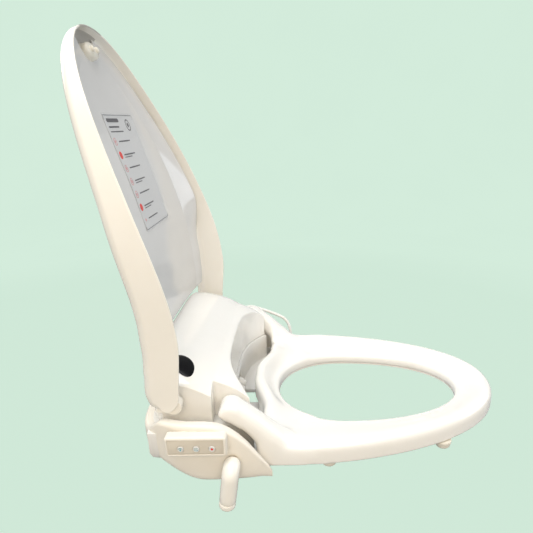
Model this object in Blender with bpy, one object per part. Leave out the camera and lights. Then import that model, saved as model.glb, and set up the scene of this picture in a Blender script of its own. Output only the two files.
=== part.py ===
"""Electric bidet seat: housing, heated seat ring, lid, wash nozzles, buttons, inlet and lead.
Frame: front of the seat is -Y, +Z is up, the user's right hand is -X, origin on the bowl deck between the bolts."""

import math

import bmesh
import bpy
import numpy as np
from mathutils import Matrix, Vector

MM = 0.001
GAP = 0.3

# Driving dimensions, millimetres
RING_HALF_WIDTH = 187.5
RING_WIDEST_Y = -129.0
RING_TIP_Y = -464.6
RING_BOTTOM_Z = 12.0
RING_CREST_Z = 44.0
OPEN_HALF_WIDTH = 106.0
OPEN_WIDEST_Y = -215.0
OPEN_REAR_Y = -107.0
OPEN_TIP_Y = -405.0
SEAT_AXIS = (-52.0, 93.0)
SEAT_ARM_IN = 153.0
SEAT_ARM_OUT = 187.5

LID_HALF_WIDTH = 193.0
LID_WIDEST_Y = -125.0
LID_TIP_Y = -456.5
LID_AXIS = (24.0, 109.0)
LID_OPEN_ANGLE = math.radians(109.5)
LID_WALL = 2.6
LID_PANEL_END_Y = -31.0
LABEL_SPAN = (-43.0, 72.0, -347.0, -182.0)

BASE_BOTTOM_Z = 3.0
BASE_DECK_Z = 71.7
WING_TOP_Z = 92.0
WING_INNER_X = 194.4
COVER_HALF_WIDTH = 172.0
PRONG_HALF_WIDTH = 149.5
COVER_SPLIT_Y = -23.0
COVER_REAR_Y = 68.0
COVER_WALL = 3.0

BUTTON_PITCH = 20.0
BUTTON_RADIUS = 4.3
BUTTON_TRAVEL = 1.6
POD_FACE_X = -221.0
NOZZLE_ANGLE = math.radians(30.0)
NOZZLE_RADIUS = 7.5
NOZZLE_X = 11.0
NOZZLE_LENGTH = 104.0
CORD_RADIUS = 3.25
FLOOR_Z = -62.0
COIL_CENTRE = (226.0, 6.0, -55.2)
COIL_RADIUS = 32.0
PLUG_Z = FLOOR_Z + 14.0

PALETTE = {
    "shell_white": ((0.86, 0.85, 0.80), 0.25, 0.0),
    "seat_white": ((0.88, 0.87, 0.83), 0.22, 0.0),
    "liner_grey": ((0.66, 0.65, 0.63), 0.18, 0.0),
    "base_white": ((0.80, 0.77, 0.70), 0.35, 0.0),
    "window_black": ((0.01, 0.01, 0.012), 0.08, 0.0),
    "rubber_grey": ((0.55, 0.53, 0.48), 0.8, 0.0),
    "cap_grey": ((0.62, 0.63, 0.64), 0.4, 0.0),
    "steel": ((0.62, 0.62, 0.63), 0.3, 1.0),
    "brass": ((0.72, 0.55, 0.25), 0.35, 1.0),
    "board_green": ((0.03, 0.22, 0.09), 0.5, 0.0),
    "dark_plastic": ((0.06, 0.06, 0.07), 0.5, 0.0),
    "tank_cream": ((0.75, 0.72, 0.62), 0.5, 0.0),
    "label_white": ((0.80, 0.80, 0.79), 0.5, 0.0),
    "cord_white": ((0.82, 0.81, 0.78), 0.45, 0.0),
}


def clear_scene():
    for item in list(bpy.data.objects):
        bpy.data.objects.remove(item, do_unlink=True)


def material(name):
    found = bpy.data.materials.get(name)
    if found:
        return found
    colour, rough, metal = PALETTE[name]
    made = bpy.data.materials.new(name)
    made.use_nodes = True
    shader = made.node_tree.nodes["Principled BSDF"]
    shader.inputs["Base Color"].default_value = (*colour, 1.0)
    shader.inputs["Roughness"].default_value = rough
    shader.inputs["Metallic"].default_value = metal
    return made


def add_mesh(name, verts, faces, mat, smooth=False):
    mesh = bpy.data.meshes.new(name)
    mesh.from_pydata([Vector(v) * MM for v in verts], [], faces)
    work = bmesh.new()
    work.from_mesh(mesh)
    bmesh.ops.remove_doubles(work, verts=work.verts, dist=0.00002)
    bmesh.ops.recalc_face_normals(work, faces=work.faces)
    work.to_mesh(mesh)
    work.free()
    item = bpy.data.objects.new(name, mesh)
    bpy.context.collection.objects.link(item)
    if mat:
        mesh.materials.append(material(mat))
    if smooth:
        mesh.shade_smooth()
    return item


def loft(name, rings, mat, smooth=True, around=False):
    count = len(rings[0])
    verts = [p for ring in rings for p in ring]
    faces = []
    spans = len(rings) if around else len(rings) - 1
    for k in range(spans):
        a, b = k * count, ((k + 1) % len(rings)) * count
        for i in range(count):
            j = (i + 1) % count
            faces.append((a + i, a + j, b + j, b + i))
    if not around:
        faces.append(tuple(range(count))[::-1])
        last = (len(rings) - 1) * count
        faces.append(tuple(last + i for i in range(count)))
    return add_mesh(name, verts, faces, mat, smooth)


def prism(name, outline, low, high, axis, mat):
    place = {
        "X": lambda u, v, w: (w, u, v),
        "Y": lambda u, v, w: (u, w, v),
        "Z": lambda u, v, w: (u, v, w),
    }[axis]
    rings = [[place(u, v, w) for u, v in outline] for w in (low, high)]
    return loft(name, rings, mat, smooth=False)


def box(name, low, high, mat):
    outline = [(low[0], low[1]), (high[0], low[1]), (high[0], high[1]), (low[0], high[1])]
    return prism(name, outline, low[2], high[2], "Z", mat)


def turned(name, start, direction, profile, mat, sides=24):
    """A turned solid: profile is (distance along, radius) pairs."""
    ahead = Vector(direction).normalized()
    side = ahead.orthogonal().normalized()
    up = ahead.cross(side)
    rings = []
    for along, radius in profile:
        centre = Vector(start) + ahead * along
        ring = []
        for i in range(sides):
            t = 2 * math.pi * i / sides
            ring.append(tuple(centre + side * (radius * math.cos(t)) + up * (radius * math.sin(t))))
        rings.append(ring)
    return loft(name, rings, mat)


def rod(name, start, end, radius, mat, sides=24, chamfer=0.0):
    span = (Vector(end) - Vector(start)).length
    profile = [(0.0, radius), (span, radius)]
    if chamfer:
        profile = [(0.0, radius - chamfer), (chamfer, radius), (span - chamfer, radius), (span, radius - chamfer)]
    return turned(name, start, Vector(end) - Vector(start), profile, mat, sides)


def combine(item, other, operation="DIFFERENCE"):
    change = item.modifiers.new("cut", "BOOLEAN")
    change.operation = operation
    change.solver = "EXACT"
    change.object = other
    bpy.context.view_layer.update()
    graph = bpy.context.evaluated_depsgraph_get()
    result = bpy.data.meshes.new_from_object(item.evaluated_get(graph))
    item.modifiers.clear()
    item.data = result
    tidy = bmesh.new()
    tidy.from_mesh(result)
    bmesh.ops.remove_doubles(tidy, verts=tidy.verts, dist=0.00002)
    bmesh.ops.dissolve_degenerate(tidy, edges=tidy.edges, dist=0.00002)
    tidy.to_mesh(result)
    tidy.free()
    bpy.data.objects.remove(other, do_unlink=True)
    return item


def set_origin(item, point):
    at = Vector(point) * MM
    item.data.transform(Matrix.Translation(-at))
    item.location = at


def swing_open(item):
    """Turns a piece drawn with the lid closed to the open rest pose."""
    at = Vector((0.0, LID_AXIS[0], LID_AXIS[1])) * MM
    item.data.transform(
        Matrix.Translation(at) @ Matrix.Rotation(-LID_OPEN_ANGLE, 4, "X") @ Matrix.Translation(-at)
    )
    set_origin(item, (0.0, LID_AXIS[0], LID_AXIS[1]))
    return item


def curve_value(table, at):
    xs = [row[0] for row in table]
    return float(np.interp(at, xs, [row[1] for row in table]))


def smooth_step(low, high, at):
    t = min(max((at - low) / (high - low), 0.0), 1.0)
    return t * t * (3 - 2 * t)


# Seat ring

def ring_outer(angle):
    """Outer outline of the seat at a polar angle about (0, -230); the rear edge is a shallow lip."""
    ux, uy = math.sin(angle), -math.cos(angle)
    low, high = 0.0, 330.0
    for _ in range(40):
        mid = 0.5 * (low + high)
        x, y = ux * mid, -230.0 + uy * mid
        if inside_outer(abs(x), y):
            low = mid
        else:
            high = mid
    return ux * low, -230.0 + uy * low


def inside_outer(x, y):
    if y > RING_WIDEST_Y:
        side = RING_HALF_WIDTH - 6.0 * ((y - RING_WIDEST_Y) / 50.0) ** 2
        return x < side and y < rear_lip_y(x)
    t = (RING_WIDEST_Y - y) / (RING_WIDEST_Y - RING_TIP_Y)
    if t >= 1.0:
        return False
    return x < RING_HALF_WIDTH * (1 - t**1.853) ** (1 / 2.13)


def rear_lip_y(x):
    return -66.0 - 20.0 * smooth_step(15.0, 100.0, x) + 5.0 * smooth_step(130.0, 180.0, x)


def rear_lip_z(x):
    return 61.0 - 5.0 * smooth_step(20.0, 100.0, x) - 7.0 * smooth_step(100.0, 175.0, x)


def ring_inner(angle):
    ux, uy = math.sin(angle), -math.cos(angle)
    low, high = 0.0, 260.0
    for _ in range(40):
        mid = 0.5 * (low + high)
        x, y = abs(ux * mid), -230.0 + uy * mid
        reach = OPEN_WIDEST_Y - OPEN_TIP_Y if y < OPEN_WIDEST_Y else OPEN_REAR_Y - OPEN_WIDEST_Y
        t = abs(y - OPEN_WIDEST_Y) / reach
        if t < 1 and x < OPEN_HALF_WIDTH * (1 - t**2.1) ** (1 / 2.15):
            low = mid
        else:
            high = mid
    return ux * low, -230.0 + uy * low


def ring_station(angle):
    inner, outer = ring_inner(angle), ring_outer(angle)
    rear = smooth_step(-125.0, -88.0, outer[1])
    crest = RING_CREST_Z + rear * (rear_lip_z(abs(outer[0])) - RING_CREST_Z)
    return inner, outer, crest, 33.0 + 3.0 * rear


def ring_loops(section, count=88):
    loops = []
    for k in range(count):
        inner, outer, crest, inside = ring_station(2 * math.pi * k / count)
        span = math.dist(inner, outer)
        loop = []
        for place, z in section(span, crest, inside):
            t = place / span
            loop.append((inner[0] + (outer[0] - inner[0]) * t, inner[1] + (outer[1] - inner[1]) * t, z))
        loops.append(loop)
    return loops


def seat_top_section(span, crest, inside):
    rise = crest - inside
    outer = [
        (0.0, RING_BOTTOM_Z + 3.5), (0.0, inside - 8), (2.5, inside - 2.2), (8.0, inside),
        (0.4 * span, inside + 0.22 * rise), (0.7 * span, inside + 0.68 * rise), (span - 11, crest),
        (span - 4, crest - 2.5), (span - 0.8, crest - 8), (span, crest - 15), (span, RING_BOTTOM_Z),
    ]
    inner = [
        (span - 3, RING_BOTTOM_Z), (span - 3, crest - 15), (span - 6.5, crest - 6.5), (span - 12, crest - 3.2),
        (0.7 * span, inside + 0.68 * rise - 3.2), (0.4 * span, inside + 0.22 * rise - 3), (9.5, inside - 3.2),
        (3.2, inside - 9), (3.2, RING_BOTTOM_Z + 3.5),
    ]
    return outer + inner


def seat_plate_section(span, crest, inside):
    low = RING_BOTTOM_Z + 0.2
    return [
        (0.4, low), (span - 3.4, low), (span - 3.4, low + 2.8), (0.4, low + 2.8),
    ]


def arm_outline(drop, shrink):
    ridge = [
        (-132, 46), (-118, 55), (-104, 68), (-91, 81), (-77, 92.5), (-66, 102), (-58, 108.5), (-50, 111.5),
        (-42, 110), (-36, 104.5), (-32.5, 96), (-32.8, 89),
    ]
    under = [(-38, 84), (-50, 77), (-65, 65), (-86, 39), (-103.5, 16.5), (-132, 16.5)]
    top = [(y - (shrink if y > -45 else 0), z - drop * smooth_step(-132, -100, y)) for y, z in ridge]
    low = [(y - (shrink if y > -45 else 0), z) for y, z in under]
    return top + low


def seat_arm(side):
    steps = [(153.0, 3.0, 2.0), (155.0, 0.6, 0.5), (160.0, 0.0, 0.0), (168.0, 1.2, 0.3), (176.0, 5.0, 1.0),
             (182.0, 10.0, 2.5), (186.0, 17.0, 4.5), (187.3, 24.0, 7.0)]
    rings = []
    for x, drop, shrink in steps:
        rings.append([(side * x, y, z) for y, z in arm_outline(drop, shrink)])
    return loft("arm", rings, "seat_white")


def nozzle_notch():
    return box("notch", (-55, -96, 0), (55, -40, 28), None)


def make_seat():
    pivot = (0.0, SEAT_AXIS[0], SEAT_AXIS[1])
    top = loft("seat_top", ring_loops(seat_top_section), "seat_white", around=True)
    for side in (-1, 1):
        combine(top, seat_arm(side), "UNION")
        hole = rod("hole", (side * 140, *SEAT_AXIS), (side * 178, *SEAT_AXIS), 6.4, None, 24)
        combine(top, hole)
    combine(top, nozzle_notch())
    plate = loft("seat_bottom", ring_loops(seat_plate_section), "seat_white", smooth=False, around=True)
    combine(plate, nozzle_notch())
    pieces = [top, plate]
    spots = {"rear_near": (-158, -170), "rear_far": (158, -170), "front_near": (-126, -345), "front_far": (126, -345)}
    for key, (x, y) in spots.items():
        foot = turned("seat_foot_" + key, (x, y, RING_BOTTOM_Z - 0.1), (0, 0, -1),
                      [(0, 9.5), (8, 9.0), (11, 7.5), (11.9, 5.5)], "rubber_grey", 20)
        pieces.append(foot)
    for item in pieces:
        set_origin(item, pivot)


# Lid, drawn closed

RIM_HEIGHT = [(-460, 57.4), (-428, 56.5), (-380, 54.5), (-313, 50.5), (-273, 48.6), (-231, 47.4), (-186, 47.2),
              (-141, 48.6), (-110, 51.8), (-92, 54.5), (-75, 58.5), (-58, 62.5), (-37, 71), (-22, 78), (-6, 85.5),
              (9, 93), (60, 110)]
SKIRT_DEPTH = [(-460, 22), (-400, 26), (-320, 32), (-247, 38), (-180, 45), (-110, 49), (-54, 53), (-20, 53), (60, 40)]


def lid_outline(rear, count=76):
    """Closed outline: the tip end is a superellipse, the sides run straight back to the rear edge."""
    half = []
    for k in range(count // 2 - 12 + 1):
        t = math.pi / 2 * k / (count // 2 - 12)
        across, along = max(math.sin(t), 0.0), max(math.cos(t), 0.0)
        half.append((LID_HALF_WIDTH * across ** (2 / 2.13),
                     LID_WIDEST_Y - (LID_WIDEST_Y - LID_TIP_Y) * along ** (2 / 1.853)))
    for k in range(1, 9):
        half.append((LID_HALF_WIDTH, LID_WIDEST_Y + (rear - LID_WIDEST_Y) * k / 8))
    for k in range(1, 5):
        half.append((LID_HALF_WIDTH * (1 - k / 4), rear))
    return half + [(-x, y) for x, y in half[-2:0:-1]]


def lid_surface(y):
    return curve_value(RIM_HEIGHT, y) + curve_value(SKIRT_DEPTH, y)


def lid_scale(x, y, centre_y=-215.0):
    """How far out a point lies between the lid's centre and its outline."""
    t = (centre_y - y) / (centre_y - LID_TIP_Y)
    low, high = 0.01, 1.0
    for _ in range(30):
        s = 0.5 * (low + high)
        yy = centre_y + (y - centre_y) / s
        u = (LID_WIDEST_Y - yy) / (LID_WIDEST_Y - LID_TIP_Y)
        reach = LID_HALF_WIDTH if u < 0 else LID_HALF_WIDTH * max(1 - u**1.853, 0.0) ** (1 / 2.13)
        low, high = (s, high) if abs(x) / s > reach or t > s else (low, s)
    return high


def lid_crown(x, y):
    return 10.0 * (1 - lid_scale(x, y) ** 2.5)


def lid_ring(outline, scale, lift, centre_y=-215.0):
    ring = []
    for x, y in outline:
        yy = centre_y + (y - centre_y) * scale
        ring.append((x * scale, yy, lid_surface(yy) + lid_crown(x * scale, yy) + lift))
    return ring


def lid_shell():
    outline = lid_outline(44.0)
    rims = [[(x * s, -215 + (y + 215) * s, curve_value(RIM_HEIGHT, y)) for x, y in outline] for s in (1.0, 0.9865)]
    outside = [lid_ring(outline, s, d) for s, d in
               ((0.12, 0), (0.35, 0), (0.6, 0), (0.8, 0), (0.9, -0.4), (0.95, -2.2), (0.98, -5.5), (0.995, -11))]
    inside = [lid_ring(outline, s, d) for s, d in
              ((0.982, -12.5), (0.967, -7.8), (0.938, -4.7), (0.888, -3.0), (0.79, -2.6), (0.59, -2.6),
               (0.34, -2.6), (0.11, -2.6))]
    shell = loft("lid_shell", outside + rims + inside, "shell_white")
    combine(shell, box("notch", (-175.6, LID_PANEL_END_Y, 20), (175.6, 120, 260), None))
    profile = [(-500, -50), (5, 60), (6, 92), (16, 96), (24, 103), (28.5, 112), (28.5, 122), (24, 132), (14, 139),
               (2, 144), (-20, 200), (-500, 200)]
    combine(shell, prism("trim", profile, -230, 230, "X", None), "INTERSECT")
    return swing_open(shell)


def liner_drop(y):
    return 3.2 + 6.0 * (1 - smooth_step(-190.0, -110.0, y))


def liner_edge_z(x, y):
    """The liner's rim: a bevel down the skirt towards the tip, close under the shell at the arms."""
    deep = curve_value(RIM_HEIGHT, y) + 15.0
    shallow = lid_surface(y) - 7.0
    blend = smooth_step(-200.0, -115.0, y)
    return deep * (1 - blend) + max(shallow, deep) * blend


def liner_point(x, y, scale, thick, rear, edge):
    centre = -215.0
    yy = min(centre + (y - centre) * scale, rear)
    xx = x * scale
    plain = lid_surface(yy) + lid_crown(xx, yy) - liner_drop(yy)
    if edge:
        back = smooth_step(-60.0, -34.0, y) * (1 - smooth_step(150.0, 185.0, abs(x)))
        plain = (plain - 0.3) * back + liner_edge_z(x, yy) * (1 - back)
    return (xx, yy, plain - thick)


def lid_liner():
    rear = LID_PANEL_END_Y - 1.0
    outline = lid_outline(rear)
    rings = []
    for scale, thick, edge in ([(s, 0.2, False) for s in (0.1, 0.3, 0.45, 0.6, 0.72, 0.82)]
                               + [(0.955, 0.2, True), (0.955, 1.8, True)]
                               + [(s, 1.8, False) for s in (0.815, 0.715, 0.6, 0.45, 0.3, 0.1)]):
        limit = rear if edge else rear - 1.0
        rings.append([liner_point(x, y, scale, thick, limit, edge) for x, y in outline])
    liner = loft("lid_liner", rings, "liner_grey")
    combine(liner, turned("scallop", (0, -442, 40), (0, 0, 1), [(0, 27), (60, 27)], None, 40))
    return swing_open(liner)


def lid_pivot(side, name):
    """Pivot block between the lid's side skirt and the cover, drilled for the hinge pin."""
    y, z = LID_AXIS
    block = rod(name, (side * 175.2, y, z), (side * 189.1, y, z), 11.5, "shell_white", 32, 0.6)
    web = prism("web", [(y - 9, z + 3), (y - 9, z + 18), (y - 2, z + 22), (y + 1, z + 20), (y + 9, z + 4)],
                side * 178.0, side * 189.1, "X", None)
    combine(block, web, "UNION")
    combine(block, rod("hole", (side * 170, y, z), (side * 186.5, y, z), 5.3, None, 24))
    return swing_open(block)


def liner_face(x, y):
    return lid_surface(y) + lid_crown(x, y) - liner_drop(y) - 1.8


def lid_label():
    """Thin instruction label lying on the liner's inner face."""
    low_x, high_x, low_y, high_y = LABEL_SPAN
    rings = []
    for y in np.linspace(low_y, high_y, 9):
        xs = np.linspace(low_x, high_x, 9)
        top = [(float(x), float(y), liner_face(x, y) - 0.45) for x in xs]
        low = [(x, y2, z - 0.4) for x, y2, z in top[::-1]]
        rings.append(top + low)
    return swing_open(loft("lid_label", rings, "label_white", smooth=False))


def lid_tip_boss():
    y, z = -428.0, lid_surface(-428.0) - 5.0
    rings = []
    for r, h in ((1.0, 0.0), (1.0, -8.0), (0.86, -10.5)):
        rings.append([(20 * r * math.cos(a), y + 12 * r * math.sin(a), z + h)
                      for a in np.linspace(0, 2 * math.pi, 28, endpoint=False)])
    boss = loft("lid_tip_boss", rings, "tank_cream")
    swing_open(boss)
    for name, x in (("lid_pad_near", -8.0), ("lid_pad_far", 8.0)):
        pad = turned(name, (x, y, z - 10.8), (0, 0, -1), [(0, 4.2), (3.4, 3.9), (4.4, 2.6)], "rubber_grey", 16)
        swing_open(pad)


def make_lid():
    lid_shell()
    lid_liner()
    lid_pivot(-1, "lid_pivot_near")
    lid_pivot(1, "lid_pivot_far")
    lid_label()
    lid_tip_boss()


# Housing

def base_outline(inset=0.0):
    right = [(-16, 0), (198.5, -103), (205, -70), (208, -35), (207.5, 0), (203.5, 26), (195, 48), (181, 65), (160, 75),
             (130, 79)]
    half = [(x - inset, y - (inset if y > 60 else 0)) for x, y in right[1:]]
    return half + [(-x, y) for x, y in half[::-1]]


def side_wing_cut():
    """Everything above the wings' sloping front edge."""
    return [(-140, 1), (-104.5, 1), (-104.5, 6), (-89, 28), (-69, 56), (-58, 69), (-47, 79.5), (-38, 87), (-27, 91),
            (-12, WING_TOP_Z), (120, WING_TOP_Z), (120, 160), (-140, 160)]


def front_edge(x, reach=0.0):
    return -35.0 - 38.0 * min(abs(x) / 150.0, 1.0) ** 4 - reach


def central_outline(reach=0.0, inset=0.0):
    """Plan of the central body with its concave front and the two prongs beside the seat arms."""
    wide, slim = COVER_HALF_WIDTH - inset, PRONG_HALF_WIDTH - inset
    front = [(x, front_edge(x, reach) + inset) for x in np.linspace(slim, 0, 13)]
    rear = COVER_REAR_Y - inset
    half = [(0, rear), (110, rear), (146 - inset, rear - 3), (163 - inset, rear - 11), (wide, rear - 24),
            (wide, COVER_SPLIT_Y + inset), (slim, COVER_SPLIT_Y + inset)]
    half += [(float(x), float(y)) for x, y in front]
    return half + [(-x, y) for x, y in half[-2:0:-1]]


def cover_height(x, y):
    spine = [(-80, 91), (-74, 99), (-66, 107), (-54, 117), (-40, 123.5), (-25, 129.5), (-8, 139), (6, 145), (25, 150),
             (45, 152), (58, 150.5), (66, 145), (72, 134)]
    return curve_value(spine, y) - 5.0 * (abs(x) / 150.0) ** 6


def height_solid(name, lift, bottom, mat):
    xs = np.linspace(-182, 182, 29)
    ys = np.concatenate([np.linspace(-86, 40, 15), np.array([46, 52, 58, 63, 68, 74, 84])])
    verts, faces = [], []
    for level in (0, 1):
        for y in ys:
            for x in xs:
                z = cover_height(x, y) + lift if level == 0 else bottom
                verts.append((float(x), float(y), float(z)))
    nx, ny = len(xs), len(ys)
    base = nx * ny
    for j in range(ny - 1):
        for i in range(nx - 1):
            a = j * nx + i
            faces.append((a, a + 1, a + nx + 1, a + nx))
            faces.append((base + a, base + a + nx, base + a + nx + 1, base + a + 1))
    rim = [i for i in range(nx)] + [j * nx + nx - 1 for j in range(1, ny)]
    rim += [(ny - 1) * nx + i for i in range(nx - 2, -1, -1)] + [j * nx for j in range(ny - 2, 0, -1)]
    for k, a in enumerate(rim):
        b = rim[(k + 1) % len(rim)]
        faces.append((a, base + a, base + b, b))
    return add_mesh(name, verts, faces, mat)


def make_cover():
    low = BASE_DECK_Z + GAP
    cover = prism("top_cover", central_outline(), low, 190, "Z", "shell_white")
    combine(cover, height_solid("skin", 0.0, 20.0, None), "INTERSECT")
    hollow = prism("hollow", central_outline(0, COVER_WALL), 10, 190, "Z", None)
    combine(hollow, height_solid("skin", -COVER_WALL, 5.0, None), "INTERSECT")
    combine(cover, hollow)
    for side in (-1, 1):
        combine(cover, rod("hole", (side * 140, *SEAT_AXIS), (side * 160, *SEAT_AXIS), 6.4, None, 20))
        combine(cover, rod("hole", (side * 155, *LID_AXIS), (side * 178, *LID_AXIS), 7.2, None, 20))
    rim = window_ring(1.0, 2.2)
    pocket = loft("pocket", [rim, [(x, y, z - 8) for x, y, z in rim]], None)
    combine(cover, pocket)


def window_ring(scale, lift):
    ring = []
    for a in np.linspace(0, 2 * math.pi, 28, endpoint=False):
        c, s = math.cos(a), math.sin(a)
        x = -112 + 27 * scale * math.copysign(abs(c) ** 0.75, c)
        y = 16 + 12.5 * scale * math.copysign(abs(s) ** 0.75, s) + 0.28 * (x + 112)
        ring.append((x, y, cover_height(x, y) + lift))
    return ring


def make_window():
    top = window_ring(0.975, 0.25)
    low = [(x, y, z - 2.4) for x, y, z in top]
    loft("sensor_window", [low, top], "window_black")


def make_base():
    rings = []
    for z, inset in ((3, 9), (5, 5), (10, 2.5), (20, 1), (36, 0), (92.5, 0)):
        rings.append([(x, y, z) for x, y in base_outline(inset)])
    base = loft("base_shell", rings, "base_white", smooth=False)
    combine(base, prism("slope", side_wing_cut(), -240, 240, "X", None))
    combine(base, box("deck", (-WING_INNER_X, -150, BASE_DECK_Z), (WING_INNER_X, 120, 200), None))
    room = [(-WING_INNER_X, -150), (WING_INNER_X, -150), (WING_INNER_X, COVER_SPLIT_Y - 3),
            (PRONG_HALF_WIDTH, COVER_SPLIT_Y - 3)]
    front = [(float(x), front_edge(x, 1.5)) for x in np.linspace(PRONG_HALF_WIDTH, -PRONG_HALF_WIDTH, 27)]
    room += front + [(-PRONG_HALF_WIDTH, COVER_SPLIT_Y - 3), (-WING_INNER_X, COVER_SPLIT_Y - 3)]
    combine(base, prism("bay", room, -10, 120, "Z", None))
    inner = [(-146, -25), (-100, -31.5), (100, -31.5), (146, -25), (166, -19), (166, 52), (130, 66), (-130, 66), (-166, 52),
             (-166, -19)]
    combine(base, prism("well", inner, 7, 120, "Z", None))
    for side in (-1, 1):
        groove = prism("groove", [(-36, 62), (6, 62), (6, 120), (-36, 120)], side * 172.6, side * WING_INNER_X, "X", None)
        combine(base, groove)
    mouth = [(-23, 14), (23, 14), (23, 50), (-23, 50)]
    combine(base, prism("mouth", mouth, -60, -20, "Y", None))
    combine(base, rod("inlet", (-230, -52, 36), (-150, -52, 36), 7.6, None, 20))
    for k in range(3):
        y = 10.5 - BUTTON_PITCH * k
        combine(base, rod("stem", (-215, y, 65), (-180, y, 65), 3.6, None, 16))
    combine(base, rod("lead", (180, 8, 52), (230, 8, 52), 5.6, None, 20))
    combine(base, box("cassette_bay", (168, 24, 20), (230, 62, 36), None))
    combine(base, box("latch_bay", (-14.6, 60, 29.4), (14.6, 90, 42.6), None))
    for side in (-1, 1):
        combine(base, rod("bolt_room", (side * 70, 0, -2), (side * 70, 0, 9), 8.0, None, 20))
    return base


def make_pod():
    """Button pod on the near wing, with three holes for the caps."""
    rings = []
    for x, grow in ((-208.4, 0.0), (-216.0, 0.0), (-219.5, -0.6), (POD_FACE_X, -2.4)):
        ring = []
        for cy, cz, a0 in ((26, 79, 0), (-48 + 5, 79, 90), (-48 + 5, 58, 180), (26, 58, 270)):
            for k in range(4):
                a = math.radians(a0 + 30 * k)
                ring.append((x, cy + (5 + grow) * math.cos(a), cz + (5 + grow) * math.sin(a)))
        rings.append(ring)
    pod = loft("button_pod", rings, "shell_white", smooth=False)
    for k in range(3):
        y = 10.5 - BUTTON_PITCH * k
        combine(pod, rod("hole", (-230, y, 65), (-212, y, 65), BUTTON_RADIUS + 0.35, None, 28))
        combine(pod, rod("hole", (-214, y, 65), (-200, y, 65), 3.4, None, 16))
    for k, name in enumerate(("button_wash", "button_bidet", "button_stop")):
        y = 10.5 - BUTTON_PITCH * k
        cap = turned(name, (-213.9, y, 65), (-1, 0, 0),
                     [(0, BUTTON_RADIUS), (6.6, BUTTON_RADIUS), (7.6, BUTTON_RADIUS - 0.7), (7.9, 1.5)], "cap_grey", 28)
        stem = rod("stem", (-214.2, y, 65), (-196, y, 65), 2.8, None, 16)
        combine(cap, stem, "UNION")
        set_origin(cap, (-214.0, y, 65))


def make_pins():
    y, z = SEAT_AXIS
    for side, tag in ((-1, "near"), (1, "far")):
        turned("seat_pin_" + tag, (side * 138, y, z), (side, 0, 0),
               [(0, 5.8), (0.7, 6.5), (7.4, 6.5), (7.41, 6.0), (38, 6.0), (39, 5.2)], "steel", 24)
        ly, lz = LID_AXIS
        turned("lid_damper_" + tag, (side * 120, ly, lz), (side, 0, 0),
               [(0, 10.0), (47, 10.0), (48.5, 6.8), (52, 6.8), (52.01, 5.0), (65, 5.0), (66, 4.2)], "dark_plastic", 24)


def along_nozzle(distance, x=0.0, lift=0.0):
    """A point on the nozzle line; distance grows backwards from the resting tip."""
    c, s = math.cos(NOZZLE_ANGLE), math.sin(NOZZLE_ANGLE)
    return (x, -47.0 + distance * c - lift * s, 26.0 + distance * s + lift * c)


def make_nozzles():
    for name, x in (("nozzle_wash", -NOZZLE_X), ("nozzle_bidet", NOZZLE_X)):
        tip = along_nozzle(0, x)
        ahead = Vector(along_nozzle(1, x)) - Vector(tip)
        tube = turned(name, tip, ahead, [(0, 4.5), (1.5, 6.6), (4, NOZZLE_RADIUS), (16, NOZZLE_RADIUS),
                                         (16.01, 6.9), (NOZZLE_LENGTH - 6, 6.9), (NOZZLE_LENGTH - 5.99, NOZZLE_RADIUS),
                                         (NOZZLE_LENGTH, NOZZLE_RADIUS)], "shell_white", 24)
        hole_at = along_nozzle(8, x, NOZZLE_RADIUS - 1.6)
        hole_to = along_nozzle(8, x, NOZZLE_RADIUS + 4)
        combine(tube, rod("spray", hole_at, hole_to, 1.3, None, 10))
        set_origin(tube, tip)
    outline = []
    for d, lift in ((22, -11.5), (100, -11.5), (100, 11.5), (22, 11.5)):
        outline.append(along_nozzle(d, 0, lift)[1:])
    block = prism("nozzle_guide", outline, -21.0, 21.0, "X", "cap_grey")
    for x in (-NOZZLE_X, NOZZLE_X):
        combine(block, rod("bore", along_nozzle(10, x), along_nozzle(115, x), NOZZLE_RADIUS + 0.7, None, 24))
    box("nozzle_motor", (24, 0, 50), (44, 22, 74), "dark_plastic")


def make_internals():
    box("heater_tank", (-150, -14, 10), (-60, 48, 66), "tank_cream")
    turned("tank_cap", (-105, 17, 66.4), (0, 0, 1), [(0, 16), (8, 16), (10, 14), (18, 7), (26, 7)], "brass", 24)
    box("circuit_board", (58, -16, 60), (148, 50, 61.8), "board_green")
    box("board_blocks", (70, -6, 62.2), (110, 30, 78), "dark_plastic")
    box("valve_block", (-52, -22, 10), (-27, 14, 44), "brass")
    turned("pump", (34, 4, 24.5), (1, 0, 0), [(0, 12), (6, 14), (44, 14), (44.01, 10), (52, 10)], "steel", 24)
    turned("dryer_fan", (128, 22, 12), (0, 0, 1), [(0, 26), (18, 26), (20, 24)], "dark_plastic", 28)


def make_mounting():
    plate = box("mounting_plate", (-92, -18, 0), (92, 30, 2.7), "shell_white")
    for side in (-1, 1):
        slot = box("slot", (side * 70 - 14, -4.6, -1), (side * 70 + 14, 4.6, 4), None)
        combine(plate, slot)
    for side, tag in ((-1, "near"), (1, "far")):
        turned("fixing_bolt_" + tag, (side * 70, 0, -62), (0, 0, 1),
               [(0, 2.6), (1, 3.0), (65, 3.0), (65.01, 6.5), (68, 6.5), (68.8, 5.5)], "steel", 16)
        nut = turned("fixing_nut_" + tag, (side * 70, 0, -30), (0, 0, 1),
                     [(0, 15), (5, 15), (8, 11), (22, 8.5)], "dark_plastic", 24)
        combine(nut, rod("hole", (side * 70, 0, -40), (side * 70, 0, 0), 3.3, None, 16))


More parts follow.
